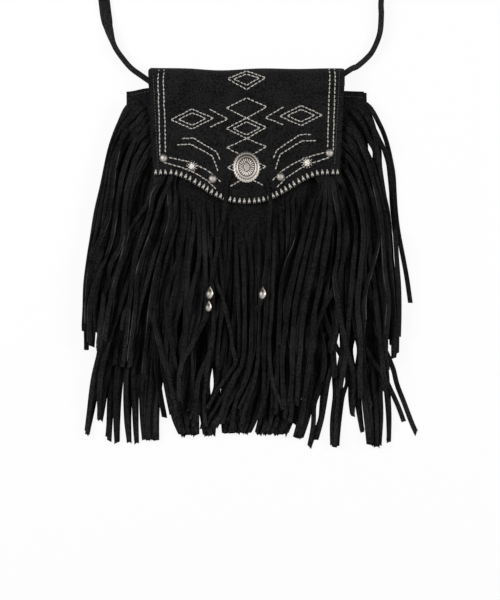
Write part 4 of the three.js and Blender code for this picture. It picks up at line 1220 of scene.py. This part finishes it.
class BAG_OT_fringe(bpy.types.Operator):
    """Four strips of fringe, cut from suede and draped strand by strand"""

    bl_idname = "bag.fringe"
    bl_label = "Fringe"

    def execute(self, context):
        strips, _ = fringe_of(context)
        for name, (rings, cut, tone) in strips.items():
            add_piece(name, closed_tubes(rings), suede_of(context, "fringe"), "pouch", [name],
                      "fringe_suede", 35, cut=with_poles(cut), tone=with_poles(tone))
        return {"FINISHED"}


# Laces and beads

LACE_LEFT = [
    (-15, 31), (-18.5, 25), (-20.5, 14), (-21, 5), (-21.6, -6), (-25, -22), (-29, -42), (-32.4, -62),
    (-36, -80), (-36.5, -86.5), (-37.9, -101), (-39.3, -111), (-44, -121), (-49.5, -131),
]
LACE_RIGHT = [
    (15.5, 31), (19.5, 22), (22.4, 12), (23.4, 5), (23.4, -6), (22.6, -22), (21, -42), (19.4, -62),
    (17, -78), (16, -86.5), (14.6, -97), (9.5, -105.5),
]
LACE_WIDTH = 3.6
LACE_THICKNESS = 1.5
LACE_DIAMETER = 2.6
LACE_PINCHED = 1.8
LACE_BEVEL = 0.35
LACE_TURN = np.radians(25)
# How strongly the lace's cut edges take a painted highlight
LACE_EDGE_HIGHLIGHT = 0.3
LACE_GAP = 0.1
LACE_SETTLE = 8

# Beads, threaded where their lace passes a y, their length and diameter, and the smaller one's share of them
LEFT_BEADS = {"bead_left_upper": -87.4, "bead_left_lower": -100.8}
RIGHT_BEADS = {"bead_right": -88}
BEAD_SIZE = np.array([13.4, 8.8])
SMALL_BEAD = {"bead_left_lower": 0.88}
BEAD_REACH = 4


def pile_height(pile, x, y):
    """The highest place of the pile within a bead's width of a point, on its pressed-down height."""
    field, depth = pile
    reach = np.arange(-BEAD_REACH, BEAD_REACH + 1)
    i = np.clip(np.rint(x - FIELD_LOW[0]).astype(int)[:, None, None] + reach[:, None], 0, FIELD_SIZE[0] - 1)
    j = np.clip(np.rint(y - FIELD_LOW[1]).astype(int)[:, None, None] + reach[None], 0, FIELD_SIZE[1] - 1)
    spots = np.stack([FIELD_LOW[0] + i + 0 * j, FIELD_LOW[1] + j + 0 * i, field[i, j]], -1)
    return settle(spots, depth)[..., 2].max((1, 2))


def lace_path(pile, route):
    """The lace over the flap, off its edge and down onto the pile, smoothed along its length."""
    plan, _ = even_path(route, 160)
    x, y = plan.T
    on_pile = pile_height(pile, x, y) + LACE_DIAMETER / 2 + 2 * LACE_GAP
    above_flap = flap_surface(x, y) + LACE_DIAMETER / 2 + LACE_GAP
    height = np.where(y > flap_edge(x) - 2, np.maximum(above_flap, on_pile), on_pile)
    return np.stack([x, y, eased_over(height, LACE_SETTLE)], -1)


def bead_shape(path, at, along_reach, diameter):
    """A teardrop along the lace: radius by a power of a sine over its length, less towards the tip, with a
    ridge that curls from its shoulder on the right up to its tip."""
    rows, sides = 40, 36
    v = np.linspace(0, 1, rows)[:, None]
    angle = np.linspace(0, 2 * np.pi, sides, endpoint=False)[None]
    drop = np.sin(np.pi * v ** 0.74) ** 0.75 * (1 - 0.2 * v) + 0.12
    beside = angle - np.radians(42 + 50 * smooth(0.62, 1.0, v))
    ridge = np.maximum(np.cos(beside), 0) ** mix(4, 16, smooth(0.25, 0.6, v))
    radius = diameter / 2 * drop * (0.9 + 0.18 * ridge * smooth(0.15, 0.5, v))
    tangent, across, up = along_path(path[None], np.array([0, 0, 1.0]))
    middle = path[at]
    axis, side, top = -tangent[0, at], -across[0, at], up[0, at]
    offset = (v - 0.5) * along_reach
    rings = (middle + offset[..., None] * axis
             + radius[..., None] * (np.cos(angle)[..., None] * side + np.sin(angle)[..., None] * top))
    # Patina over the body, none on the polished ridge, and darker over the upper part as painted shade
    recess = mix(0.55, 0.95, smooth(0.4, 0.7, v)) * (1 - ridge) * np.ones_like(angle)
    return rings[None], recess[None]


class BAG_OT_laces(bpy.types.Operator):
    """Two suede laces from behind the concho, with silver teardrop beads"""

    bl_idname = "bag.laces"
    bl_label = "Laces and beads"

    def execute(self, context):
        _, pile = fringe_of(context)
        self.lace(context, pile, "left", LACE_LEFT, LEFT_BEADS)
        self.lace(context, pile, "right", LACE_RIGHT, RIGHT_BEADS)
        return {"FINISHED"}

    def lace(self, context, pile, side, route, beads):
        """One lace: a flat ribbon that turns on edge as it falls, threaded through its beads."""
        path = lace_path(pile, route)
        share = np.linspace(0, 1, len(path))[None]
        _, across, up = along_path(path[None], np.array([0, 0, 1.0]))
        across, up = turned_by(across, up, LACE_TURN * smooth(0.3, 0.6, share))
        threaded = np.min([np.abs(path[:, 1] - y) for y in beads.values()], axis=0)[None]
        width = mix(LACE_PINCHED, LACE_WIDTH, smooth(6, 9, threaded))
        full = np.ones_like(share)
        rings = ribbon_rings(path[None], across, up, width, LACE_THICKNESS * full, LACE_BEVEL * full)
        cut = np.broadcast_to(CUT_EDGE * LACE_EDGE_HIGHLIGHT, rings.shape[:3])
        name = "thong_" + side
        lace = add_piece(name, closed_tubes(rings), suede_of(context, "lace"), "flap", [name], "lace_suede",
                         35, cut=with_poles(cut), tone=with_poles(1 + 0 * cut))
        metal = silver_of(context, "antique_silver_beads", 0.25, 0.9)
        for name, y in beads.items():
            size = BEAD_SIZE * SMALL_BEAD.get(name, 1.0)
            rings, recess = bead_shape(path, np.abs(path[:, 1] - y).argmin(), *size)
            add_piece(name, closed_tubes(rings), metal, "flap", [name], "antique_silver",
                                    recess=with_poles(recess))


# Pouch

# How far the mouth stands above its line: at the corners, and left and right of the middle
MOUTH_LIFT_CORNER = 1.0
MOUTH_LIFT = (4.5, 1.5)
MOUTH_CORNER_IN = 3.0
HEM_LINE = 5
HEM_LINE_DEPTH = 0.45
HEM_STEP = 0.5

# The hem's stitches: their length, pitch and thread, and their drop and lift on the left and on the right
HEM_STITCH = 2.4
HEM_STITCH_PITCH = 3.1
HEM_THREAD = 0.42
HEM_ENDS = 5
HEM_DROP = (3.0, 5.0)
HEM_LIFT = (4.0, 1.2)


class BAG_OT_pouch(bpy.types.Operator):
    """Front and back of the pouch, with the hem turned in at the mouth"""

    bl_idname = "bag.pouch"
    bl_label = "Pouch"

    def execute(self, context):
        material = suede_of(context, "body")
        v = np.linspace(0, 1, 130)[:, None]
        u = np.linspace(-1, 1, 150)[None]
        front = add_piece("front_panel", closed_sheet(*self.front(u, v)), material, "pouch", ["front_panel"],
                          "body_suede")
        y = mix(MOUTH_Y, BOTTOM_Y, v) * np.ones_like(u)
        x = u * pouch_half_width(y)
        under = np.stack([x, y, 0 * x], -1)
        back = add_piece("back_panel", closed_sheet(under, under + [0, 0, SUEDE]), material, "pouch",
                         ["back_panel"], "body_suede")
        strips = [name + "_visual" for name in fringe_of(context)[0]]
        self.hem_stitches(context)
        return {"FINISHED"}

    def front(self, u, v):
        """The front's outside and inside: the pouch's height under a mouth that stands higher on the left,
        with a bell-shaped line pressed in along the hem, an S-curve down where the hem ends and a slow sine;
        two layers thick in the hem."""
        lift = mix(MOUTH_LIFT_CORNER, np.where(u < 0, *MOUTH_LIFT), smooth(1.0, 0.8, np.abs(u)))
        y = mix(MOUTH_Y + lift, BOTTOM_Y, v)
        drawn_in = MOUTH_CORNER_IN * (1 - smooth(0, 3.5, MOUTH_Y - y)) * (u > 0)
        x = u * (pouch_half_width(np.minimum(y, MOUTH_Y)) - drawn_in)
        drop = MOUTH_Y + lift - y
        pressed = HEM_LINE_DEPTH * np.exp(-((drop - HEM_LINE) / 0.8) ** 2)
        step = HEM_STEP * (1 - smooth(HEM - 3, HEM, drop))
        inward = POUCH_HALF - np.abs(x)
        z = pouch_front(x, np.minimum(y, MOUTH_Y)) - pressed + step
        z = z + 0.3 * np.sin(x / 9 + y / 13) * smooth(0, 12, inward)
        outer = np.stack([x, y, z], -1)
        hem = SUEDE * (1 - smooth(HEM - 1, HEM + 1, drop)) * smooth(0, 25, inward)
        return outer, outer - np.stack([0 * x, 0 * x, SUEDE + hem], -1)

    def hem_stitches(self, context):
        """A run of charcoal stitches along the hem, on the panel's height."""
        x = np.arange(-POUCH_HALF + HEM_ENDS, POUCH_HALF - HEM_ENDS, HEM_STITCH_PITCH)
        lift = np.where(x < 0, *HEM_LIFT) * smooth(POUCH_HALF, 0.8 * POUCH_HALF, np.abs(x))
        y = MOUTH_Y - np.where(x < 0, *HEM_DROP) + lift
        start = np.stack([x, y, pouch_front(x, y) + TOUCH], -1)
        end = start + [HEM_STITCH, 0, 0]
        end[:, 2] = pouch_front(end[:, 0], y) + TOUCH
        shape, ply = stitches(start, end, np.array([0, 0, 1.0]), HEM_THREAD)
        add_piece("hem_stitching", shape, thread_of(context, True), "pouch", slot="body_suede", ply=ply)


# Flap

# How far below the mouth the neck starts, the radius of its turn, and where the skin bends at the hinge
NECK_START = 7
NECK_TURN = 5
FACING_INSET = 5


class BAG_OT_flap(bpy.types.Operator):
    """Flap in one with its neck: up the back, over the fold and down to an ogee edge; and its facing"""

    bl_idname = "bag.flap"
    bl_label = "Flap"

    def execute(self, context):
        material = suede_of(context, "flap")
        outer = self.outside()
        normal = unit(np.cross(np.gradient(outer, axis=0), np.gradient(outer, axis=1)))
        inner = outer - SUEDE * normal
        flap = add_piece("flap_outer", closed_sheet(outer, inner), material, None, ["flap_outer"],
                         "flap_suede")
        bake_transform(flap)
        self.facing(context, material)
        return {"FINISHED"}

    def outside(self):
        """The outside of the flap as rows from the neck to the edge: a straight neck, a quarter circle off
        the ground, a quarter ellipse over the fold, then the leaf down to the ogee edge."""
        share = np.linspace(-1, 1, 171)[None]
        neck = np.linspace(MOUTH_Y - NECK_START, FOLD_Y - NECK_TURN, 7)[:, None]
        lip = np.linspace(-np.pi / 2, 0, 9)[1:, None]
        turn = np.linspace(0, np.pi / 2, 26)[1:, None]
        wave = (0.9 * smooth(-0.4, -0.9, share) - 1.5 * np.exp(-((share + 0.3) / 0.26) ** 2)
                + 0.3 * np.sin(9 * share))
        y_turn = np.concatenate([neck, FOLD_Y - NECK_TURN + NECK_TURN * np.cos(lip),
                                 FLAT_Y + FOLD_DEPTH * np.cos(turn)]) + 0 * share
        z_turn = np.concatenate([0.1 + 0 * neck, NECK_TURN + NECK_TURN * np.sin(lip),
                                 CREASE + (FOLD_TOP - CREASE) * np.sin(turn)])
        y_turn = y_turn + wave * smooth(FLAT_Y, FOLD_Y, y_turn)
        x_turn = share * flap_half(y_turn)
        up_turn = smooth(0, FOLD_TOP, z_turn)
        z_turn = z_turn + up_turn * flap_relief(x_turn, y_turn)
        edge_x = share * flap_half(FOLD_Y - FLAP_SIDE_DROP)
        y_leaf = mix(FLAT_Y, flap_edge(edge_x), np.linspace(0, 1, 140)[1:, None])
        x_leaf = share * flap_half(y_leaf)
        z_leaf = flap_surface(x_leaf, y_leaf)
        top = np.stack([x_turn, y_turn, z_turn], -1)
        return np.concatenate([top, np.stack([x_leaf, y_leaf, z_leaf], -1)])

    def facing(self, context, material):
        """Thin suede under the flap, set in from its edges."""
        share = np.linspace(-1, 1, 90)[None]
        edge_x = share * (flap_half(FOLD_Y - FLAP_SIDE_DROP) - FACING_INSET)
        y = mix(FLAT_Y, flap_edge(edge_x) + FACING_INSET, np.linspace(0, 1, 80)[:, None])
        x = share * (flap_half(y) - FACING_INSET)
        top = np.stack([x, y, flap_surface(x, y) - SUEDE - FACING_GAP], -1)
        facing = add_piece("flap_facing", closed_sheet(top, top - [0, 0, FACING]), material, "flap",
                           ["flap_facing"], "flap_suede")


# Embroidery

def stitches(start, end, up, radius):
    """Thread lying between pairs of points: round sections whose radius swells from the holes by a flat
    power curve, arched over the leather by a sine. Gives the shape and the turn of its plies."""
    share = np.linspace(0, 1, 7)[None, :, None]
    arch = radius * 0.75 * np.sin(np.pi * share)
    up = np.broadcast_to(up, start.shape)[:, None]
    path = mix(start[:, None], end[:, None], share) + (arch - 0.25 * radius) * up
    _, across, lifted = along_path(path, up)
    swell = radius * (1 - 0.62 * np.abs(2 * share[..., 0] - 1) ** 3) * np.ones((len(start), 1))
    sides = 6
    rings = round_rings(path, across, lifted, swell, sides)
    length = np.linalg.norm(end - start, axis=1)[:, None, None]
    ply = share[..., 0][..., None] * length / (4 * radius) + np.arange(sides) / sides
    return closed_tubes(rings), with_poles(ply)


def run_of_stitches(corners, stitch, gap):
    """Ends of the stitches of about one length along a line of corners, each set in from its holes."""
    corners = np.array(corners, float)
    starts, ends = [], []
    for a, b in zip(corners[:-1], corners[1:]):
        count = max(1, round(np.linalg.norm(b - a) / stitch))
        marks = mix(a, b, np.linspace(0, 1, count + 1)[:, None])
        step = (b - a) / count
        set_in = gap / 2 * step / np.linalg.norm(step)
        starts.append(marks[:-1] + set_in)
        ends.append(marks[1:] - set_in)
    return np.concatenate(starts), np.concatenate(ends)


def diamond(across, middle, half_width, half_height):
    """Closed diamond about a point given by its distance across and its drop below the fold."""
    return [(across - half_width, middle), (across, middle - half_height), (across + half_width, middle),
            (across, middle + half_height), (across - half_width, middle)]


# Lines of embroidery, as distance across from the middle and drop below the fold
CENTRE_LINES = [
    [(-18.7, 11), (0, 3.4), (18.7, 11), (0, 22.5), (-18.7, 11)],
    [(-12.8, 11.3), (0, 6.9), (12.8, 11.3), (0, 18), (-12.8, 11.3)],
    [(0, 30.8), (-20.1, 40.2), (0, 50.9), (19.5, 60.6), (0, 71.3), (-19.9, 79.9), (0, 90.5)],
    [(0, 30.8), (20.1, 40.2), (0, 50.9), (-20.1, 60.6), (0, 71.3), (19.9, 79.9), (0, 90.5)],
    diamond(0, 61.1, 13.4, 6.5),
    [(0, 90.5), (-19.1, 99.7), (0, 109.6), (16.5, 118.6)],
    [(0, 90.5), (19.1, 99.7), (0, 109.6), (-16.5, 118.6)],
]
SIDE_LINES = [
    diamond(54.2, 50, 21.2, 10),
    diamond(54.2, 50, 13.7, 6.2),
    [(37, 40.7), (18.9, 51), (36.7, 58.8)],
    [(64.2, 69.3), (53.2, 69), (29.9, 83.7), (26.4, 92.1)],
    [(69.6, 75.4), (55.2, 75.2), (33.5, 88), (28.5, 103.1)],
    [(87.4, -1.5), (88.4, 10), (87.2, 50), (86.3, 86)],
    [(82.1, -1.5), (83.1, 9), (81.5, 50), (80.8, 82.5)],
    [(78, 87.5), (69, 89.6), (58, 92.5), (47.5, 97.3), (39, 102.1), (34.6, 105.2), (25.5, 114)],
    [(83.4, 92.2), (74.2, 94.9), (65, 97.9), (55.4, 101.9), (47.5, 106.4), (38.5, 112.2), (30.4, 121)],
]
STITCH_GAP = 0.55
STITCH_WANDER = 0.16
TOPSTITCH = 3.0
TOPSTITCH_GAP = 0.9
TOPSTITCH_RADIUS = 0.5
TOPSTITCH_ENDS = (1.5, FLAP_SIDE_DROP - 5)
WHIP_PAIRS = 40
WHIP_TALL = 5.0
WHIP_SPREAD = 0.95
WHIP_SIDES = 6


def on_flap(across, drop):
    """A place on the flap from its distance across and its drop, turned by the tilt of the hand-set trim."""
    x = np.asarray(across, float)
    y = FOLD_Y - np.asarray(drop, float) + x * TRIM_TILT
    return x, np.minimum(y, FOLD_Y - 0.3)


class BAG_OT_embroidery(bpy.types.Operator):
    """Cream running stitch in diamonds and bent lines, the whipped ogee edge, and the side topstitching"""

    bl_idname = "bag.embroidery"
    bl_label = "Embroidery"

    def execute(self, context):
        sizes = context.scene.bag_sizes
        stitch, radius = sizes.stitch / MM, sizes.thread / MM / 2
        mirrored = [[(-a, d) for a, d in line] for line in SIDE_LINES]
        runs = [run_of_stitches(line, stitch, STITCH_GAP) for line in CENTRE_LINES + SIDE_LINES + mirrored]
        starts, ends = [np.concatenate(part) for part in zip(*runs)]
        jitter = np.random.default_rng(3).normal(0, STITCH_WANDER, (2,) + starts.shape)
        self.sew(context, "embroidery", starts + jitter[0], ends + jitter[1], radius, False)
        high, low = TOPSTITCH_ENDS
        side = [(FLAP_HALF - SEAM_INSET, high), (FLAP_HALF - FLAP_TAPER - SEAM_INSET, low)]
        top = [run_of_stitches([(s * a, d - s * a * TRIM_TILT) for a, d in side], TOPSTITCH, TOPSTITCH_GAP)
               for s in (-1, 1)]
        starts, ends = [np.concatenate(part) for part in zip(*top)]
        self.sew(context, "side_topstitching", starts, ends, TOPSTITCH_RADIUS, True)
        self.whip(context, radius)
        return {"FINISHED"}

    def sew(self, context, name, starts, ends, radius, charcoal):
        """Stitches between places on the flap, standing on its surface."""
        ends_3d = []
        for places in (starts, ends):
            x, y = on_flap(places[:, 0], places[:, 1])
            ends_3d.append(np.stack([x, y, flap_surface(x, y)], -1))
        middle = (ends_3d[0] + ends_3d[1]) / 2
        up = surface_normal(flap_surface, middle[:, 0], np.minimum(middle[:, 1], FOLD_Y - 2))
        shape, ply = stitches(*ends_3d, up, radius)
        add_piece(name, shape, thread_of(context, charcoal), "flap", slot="flap_suede", ply=ply)

    def whip(self, context, radius):
        """Pairs of legs from a hole above the edge, side by side as a leaf, then parted at the edge and
        carried round under it."""
        half = flap_half(FOLD_Y - FLAP_SIDE_DROP)
        fine = np.linspace(-half + 2.5, half - 2, 200)
        x = even_path(np.stack([fine, flap_edge(fine)], 1), WHIP_PAIRS)[0][:, 0]
        rng = np.random.default_rng(5)
        x = x + rng.normal(0, 0.25, len(x))
        lean = rng.normal(0, 0.25, len(x)) - 0.7 * WHIP_TALL * (flap_edge(x + 1) - flap_edge(x - 1)) / 2
        apex = flap_edge(x) + WHIP_TALL
        paths = []
        for sign in (-1, 1):
            foot = x + sign * WHIP_SPREAD
            edge = flap_edge(foot)
            marks = [(x + (1 - down) * lean + sign * apart, mix(apex, flap_edge(x), down), lift)
                     for down, apart, lift in ((0, 0.05, 0.0), (0.35, 0.4, 0.5), (0.68, 0.62, 0.6))]
            marks += [(foot, edge + 0.5, 0.1), (foot, edge - 0.1, -1.0),
                      (foot - sign * 0.3, edge + 0.4, -2.3)]
            paths.append(np.stack([np.stack([a, b, self.height(a, b) + c], -1) for a, b, c in marks], 1))
        along = np.linspace(0, 5, 13)
        path = catmull(np.concatenate(paths), along[None].repeat(2 * len(x), 0))
        leaf = radius * mix(0.45, 1.15, smooth(0, 1.6, along)) * mix(1.0, 0.35, smooth(2.0, 2.9, along))
        _, across, up = along_path(path, np.array([0.35, 0.2, 1.0]))
        rings = round_rings(path, across, up, np.broadcast_to(leaf, path.shape[:2]), WHIP_SIDES)
        ply = (np.linspace(0, 3, path.shape[1])[None, :, None] + np.arange(WHIP_SIDES) / WHIP_SIDES
               + np.zeros((len(path), 1, 1)))
        add_piece("whipstitch", closed_tubes(rings), thread_of(context), "flap", slot="flap_suede",
                  ply=with_poles(ply))

    def height(self, x, y):
        """Height of the flap, carried level past its edge."""
        return flap_surface(x, np.maximum(y, flap_edge(x) + 0.2))


# Silver

def seated(rings, place, normal, tilt=0.0):
    """Rings of a piece made about the z axis, turned about it, stood along a normal and moved to a place."""
    side = unit(np.cross([0, 1.0, 0], normal))
    front = np.cross(normal, side)
    c, s = np.cos(tilt), np.sin(tilt)
    x, y = rings[..., 0] * c - rings[..., 1] * s, rings[..., 0] * s + rings[..., 1] * c
    return place + x[..., None] * side + y[..., None] * front + rings[..., 2:] * normal


def trim_place(node, sink=0.25):
    """Where a piece of trim sits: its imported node's middle, on the flap, and the flap's normal there."""
    low, high = node_box(node)
    x, y = (low[:2] + high[:2]) / 2
    radius = (high[0] - low[0]) / 2
    normal = surface_normal(flap_surface, np.array(x), np.array(y), radius)
    return np.array([x, y, flap_surface(x, y)]) - sink * normal, normal


def polar(rings, sides, radii, heights):
    """Rings about the z axis from a radius and a height at each ring and angle."""
    angle = np.linspace(0, 2 * np.pi, sides, endpoint=False)[None]
    radii, heights = np.broadcast_to(radii, (rings, sides)), np.broadcast_to(heights, (rings, sides))
    return np.stack([radii * np.cos(angle), radii * np.sin(angle), heights], -1)


SCALLOPS = 30
FLUTES = 22
CONCHO_RIM = [[0.0], [0.35], [0.8]]
CONCHO_LONG = 1.02
CONCHO_SHIFT = np.array([0, -0.8, 0])


class BAG_OT_concho(bpy.types.Operator):
    """Oval concho: scalloped rim, dashed groove, raised ring, sunburst of flutes and a plain pointed oval"""

    bl_idname = "bag.concho"
    bl_label = "Concho"

    def execute(self, context):
        rows, sides = 130, 336
        low, high = node_box("concho")
        half_long, half_wide = (high[1] - low[1]) / 2, (high[0] - low[0]) / 2
        angle = np.linspace(0, 2 * np.pi, sides, endpoint=False)[None]
        r = np.concatenate([np.linspace(1.0, 0.995, 4), np.linspace(0.99, 0.004, rows - 4)])[:, None]
        wave = 0.02 * smooth(0.72, 0.98, r) * (np.cos(SCALLOPS * angle) - 1)
        height, recess = self.relief(r, angle)
        height[:len(CONCHO_RIM)] = CONCHO_RIM
        rings = polar(rows, sides, r * (1 + wave), height)
        rings[..., 0] *= half_wide
        rings[..., 1] *= CONCHO_LONG * half_long
        place, normal = trim_place("concho")
        metal = silver_of(context, "antique_silver_casting", 0.34, 0.9)
        shape = closed_tubes(seated(rings, place + CONCHO_SHIFT, normal, TRIM_TURN)[None])
        add_piece("concho", shape, metal, "flap", ["concho"], "antique_silver",
                  recess=with_poles(recess[None]))
        return {"FINISHED"}

    def relief(self, r, angle):
        """Height by the share of the radius: a dish with bell-shaped rings for its rolled rim and its ring,
        flutes by a power of a cosine of the angle, and a pointed oval; and how dark each place is: patina in
        its grooves and between its flutes, a darker plain oval and outer rings, and painted shade towards
        the top."""

        def bell(middle, wide):
            return np.exp(-((r - middle) / wide) ** 2)

        dish = 1.0 + 2.3 * np.cos(np.pi / 2 * np.clip(r, 0, 1)) ** 0.9
        rolled = 0.5 * bell(0.9, 0.075)
        ring = 0.42 * bell(0.68, 0.055)
        oval = ((np.abs(np.cos(angle)) / 0.22) ** 1.5 + (np.abs(np.sin(angle)) / 0.32) ** 1.5) ** (-1 / 1.5)
        petals = smooth(0, 0.04, r - oval) * (1 - smooth(0.53, 0.58, r))
        flute = np.abs(np.cos(FLUTES / 2 * angle)) ** 1.2
        burst = petals * 0.4 * flute
        boss = 0.3 * (1 - smooth(-0.05, 0.01, r - oval))
        height = dish + rolled + ring + burst + boss
        dashes = bell(0.795, 0.026) * (0.55 + 0.45 * np.cos(SCALLOPS * angle))
        between = petals * (1 - flute) ** 0.8 + bell(oval + 0.012, 0.022)
        plain = 0.42 * (1 - smooth(-0.03, 0.01, r - oval))
        grooves = dashes + 0.9 * bell(0.59, 0.035) + 0.35 * bell(0.74, 0.04)
        # Darker outer rings, and darker towards the top as painted shade
        toned = 0.22 * smooth(0.5, 0.7, r) + 0.06 + 0.34 * smooth(-0.1, 0.9, r * np.sin(angle))
        recess = np.clip(toned + grooves + between + plain, 0, 1)
        return height * np.ones_like(angle), recess * np.ones_like(angle)


DOME_SPREAD = 1.03
DOME_TALL = 3.9
STAR_POINTS = 12
STAR_SHIFT = np.array([2.8, -0.9, 0])


class BAG_OT_studs(bpy.types.Operator):
    """Dome studs and bright star studs on the flap"""

    bl_idname = "bag.studs"
    bl_label = "Studs"

    def execute(self, context):
        for side in ("left", "right"):
            for row in ("upper", "lower"):
                self.dome(context, f"dome_stud_{side}_{row}")
            self.star(context, f"star_stud_{side}")
        return {"FINISHED"}

    def dome(self, context, node):
        """A spun dome: its radius by a power of a quarter turn's cosine, its height by one of its sine."""
        low, high = node_box(node)
        radius = DOME_SPREAD * (high[0] - low[0]) / 2
        t = np.linspace(0, 1, 26)[1:-1, None]
        lean = np.pi / 2 * t
        rings = polar(24, 48, radius * np.cos(lean) ** 0.8, DOME_TALL * np.sin(lean) ** 0.95)
        # Pewter dark all over, and darker towards the rim as painted shade
        recess = mix(0.6, 0.9, 1 - smooth(0.0, 0.5, t)) + 0 * rings[..., 0]
        metal = silver_of(context, "pewter_silver_domes", 0.32, 0.8)
        place, normal = trim_place(node)
        add_piece(node, closed_tubes(seated(rings, place, normal)[None]), metal, "flap", [node],
                  "bright_silver", recess=with_poles(recess[None]))

    def star(self, context, node):
        """A star of pointed rays: its radius a sharpened cosine of the angle, its rays falling to the points
        from a flat boss. Set a little right of its hole, as the real ones are."""
        low, high = node_box(node)
        sides, rows = 192, 40
        radius = (high[0] - low[0]) / 2
        angle = np.linspace(0, 2 * np.pi, sides, endpoint=False)[None]
        ray = np.abs(np.cos(STAR_POINTS / 2 * angle)) ** 3
        r = np.concatenate([[1.0, 1.0], np.linspace(0.99, 0.01, rows - 2)])[:, None]
        outline = radius * mix(0.55, 1.0, ray)
        fall = smooth(0.5, 1.0, r)
        height = mix(2.7, 1.5, fall) + 0.25 * ray * fall * (1 - fall) * 4
        height[0] = 0.0
        rings = polar(rows, sides, r * outline, height)
        # Darker over the outer half where the rays fall, most between the rays
        recess = mix(0.85, 0.4, ray) * smooth(0.5, 0.9, r)
        metal = silver_of(context, "bright_silver_stars", 0.16, 0.9, 1.3)
        place, normal = trim_place(node)
        shape = closed_tubes(seated(rings, place + STAR_SHIFT, normal)[None])
        add_piece(node, shape, metal, "flap", [node], "bright_silver",
                  recess=with_poles(recess[None] + 0 * rings[None, ..., 0]))


# Half a section through the snap, from its rim to its middle: shares of its radius and of its height
SNAP_PROFILE = np.array([
    (1.0, 0.0), (1.0, 0.16), (0.96, 0.27), (0.86, 0.33), (0.79, 0.42), (0.775, 0.85), (0.74, 0.96),
    (0.5, 1.0), (0.44, 0.97), (0.4, 0.86), (0.34, 0.84), (0.3, 0.93), (0.2, 0.97), (0.02, 0.98),
])
TAB_CROWN = 0.35


class BAG_OT_closure(bpy.types.Operator):
    """Magnetic snap behind the concho, and the strap's sewn tabs inside the fold"""

    bl_idname = "bag.closure"
    bl_label = "Closure and tabs"

    def execute(self, context):
        self.snap(context, "snap_stud", "pouch", 1)
        self.snap(context, "snap_socket", "flap", -1)
        self.tab(context, "strap_tab_left", 1)
        self.tab(context, "strap_tab_right", -1)
        return {"FINISHED"}

    def snap(self, context, node, body, face):
        """Half of the snap: its profile as a smooth curve, spun about its axis, facing up or down."""
        low, high = node_box(node)
        radius, tall = (high[0] - low[0]) / 2, high[2] - low[2]
        rows = 60
        fine = catmull(SNAP_PROFILE[None], np.linspace(0, len(SNAP_PROFILE) - 1, rows)[None])[0]
        rings = polar(rows, 64, fine[:, :1] * radius, fine[:, 1:] * tall)
        recess = np.exp(-((fine[:, :1] - 0.38) / 0.05) ** 2) + 0 * rings[..., 0]
        x, y = (low[:2] + high[:2]) / 2
        base = low[2] if face > 0 else high[2]
        rings = rings * [1, face, face] + [x, y, base]
        metal = silver_of(context, "nickel_plated_steel", 0.22, 0.4)
        add_piece(node, closed_tubes(rings[None]), metal, body, [node], "nickel_plate",
                  recess=with_poles(recess[None]))

    def tab(self, context, node, inward):
        """A flat suede tab with a round end: half-width by a circle over the last part of its length, and a
        crown that falls off by the fourth power across it."""
        low, high = node_box(node)
        half = (high[1] - low[1]) / 2
        length = high[0] - low[0]
        along = np.linspace(0, length, 50)[:, None]
        share = np.linspace(-1, 1, 21)[None]
        into = np.clip(along - (length - half), 0, 0.999 * half)
        y = (low[1] + high[1]) / 2 + share * np.sqrt(half ** 2 - into ** 2)
        start = low[0] if inward > 0 else high[0]
        x = start + inward * along + 0 * share
        crown = TAB_CROWN * (1 - share ** 4) * np.ones_like(along)
        top = np.stack([x, y, high[2] - TAB_CROWN + crown], -1)
        bottom = np.stack([x, y, low[2] + 0 * x], -1)
        material = suede_of(context, "strap")
        add_piece(node, closed_sheet(top, bottom), material, "pouch", [node], "strap_suede")


OPERATORS = (
    BAG_OT_stage, BAG_OT_strap, BAG_OT_laces, BAG_OT_fringe, BAG_OT_pouch, BAG_OT_flap, BAG_OT_embroidery,
    BAG_OT_concho, BAG_OT_studs, BAG_OT_closure,
)


class BAG_PT_panel(bpy.types.Panel):
    """Builds the bag piece by piece"""

    bl_label = "Fringed suede bag"
    bl_idname = "BAG_PT_panel"
    bl_space_type = "VIEW_3D"
    bl_region_type = "UI"
    bl_category = "Bag"

    def draw(self, context):
        for operator in OPERATORS:
            self.layout.operator(operator.bl_idname)
        for group in (context.scene.bag_finish, context.scene.bag_sizes, context.scene.bag_stage):
            for name in group.bl_rna.properties.keys():
                if name not in ("rna_type", "name"):
                    self.layout.prop(group, name)


CLASSES = (BagFinish, BagSizes, BagStage) + OPERATORS + (BAG_PT_panel,)


def register():
    for item in CLASSES:
        bpy.utils.register_class(item)
    bpy.types.Scene.bag_finish = bpy.props.PointerProperty(type=BagFinish)
    bpy.types.Scene.bag_sizes = bpy.props.PointerProperty(type=BagSizes)
    bpy.types.Scene.bag_stage = bpy.props.PointerProperty(type=BagStage)


def unregister():
    del bpy.types.Scene.bag_finish
    del bpy.types.Scene.bag_sizes
    del bpy.types.Scene.bag_stage
    for item in reversed(CLASSES):
        bpy.utils.unregister_class(item)


def main():
    register()
    for operator in OPERATORS:
        area, name = operator.bl_idname.split(".")
        getattr(getattr(bpy.ops, area), name)()


if __name__ == "__main__":
    main()
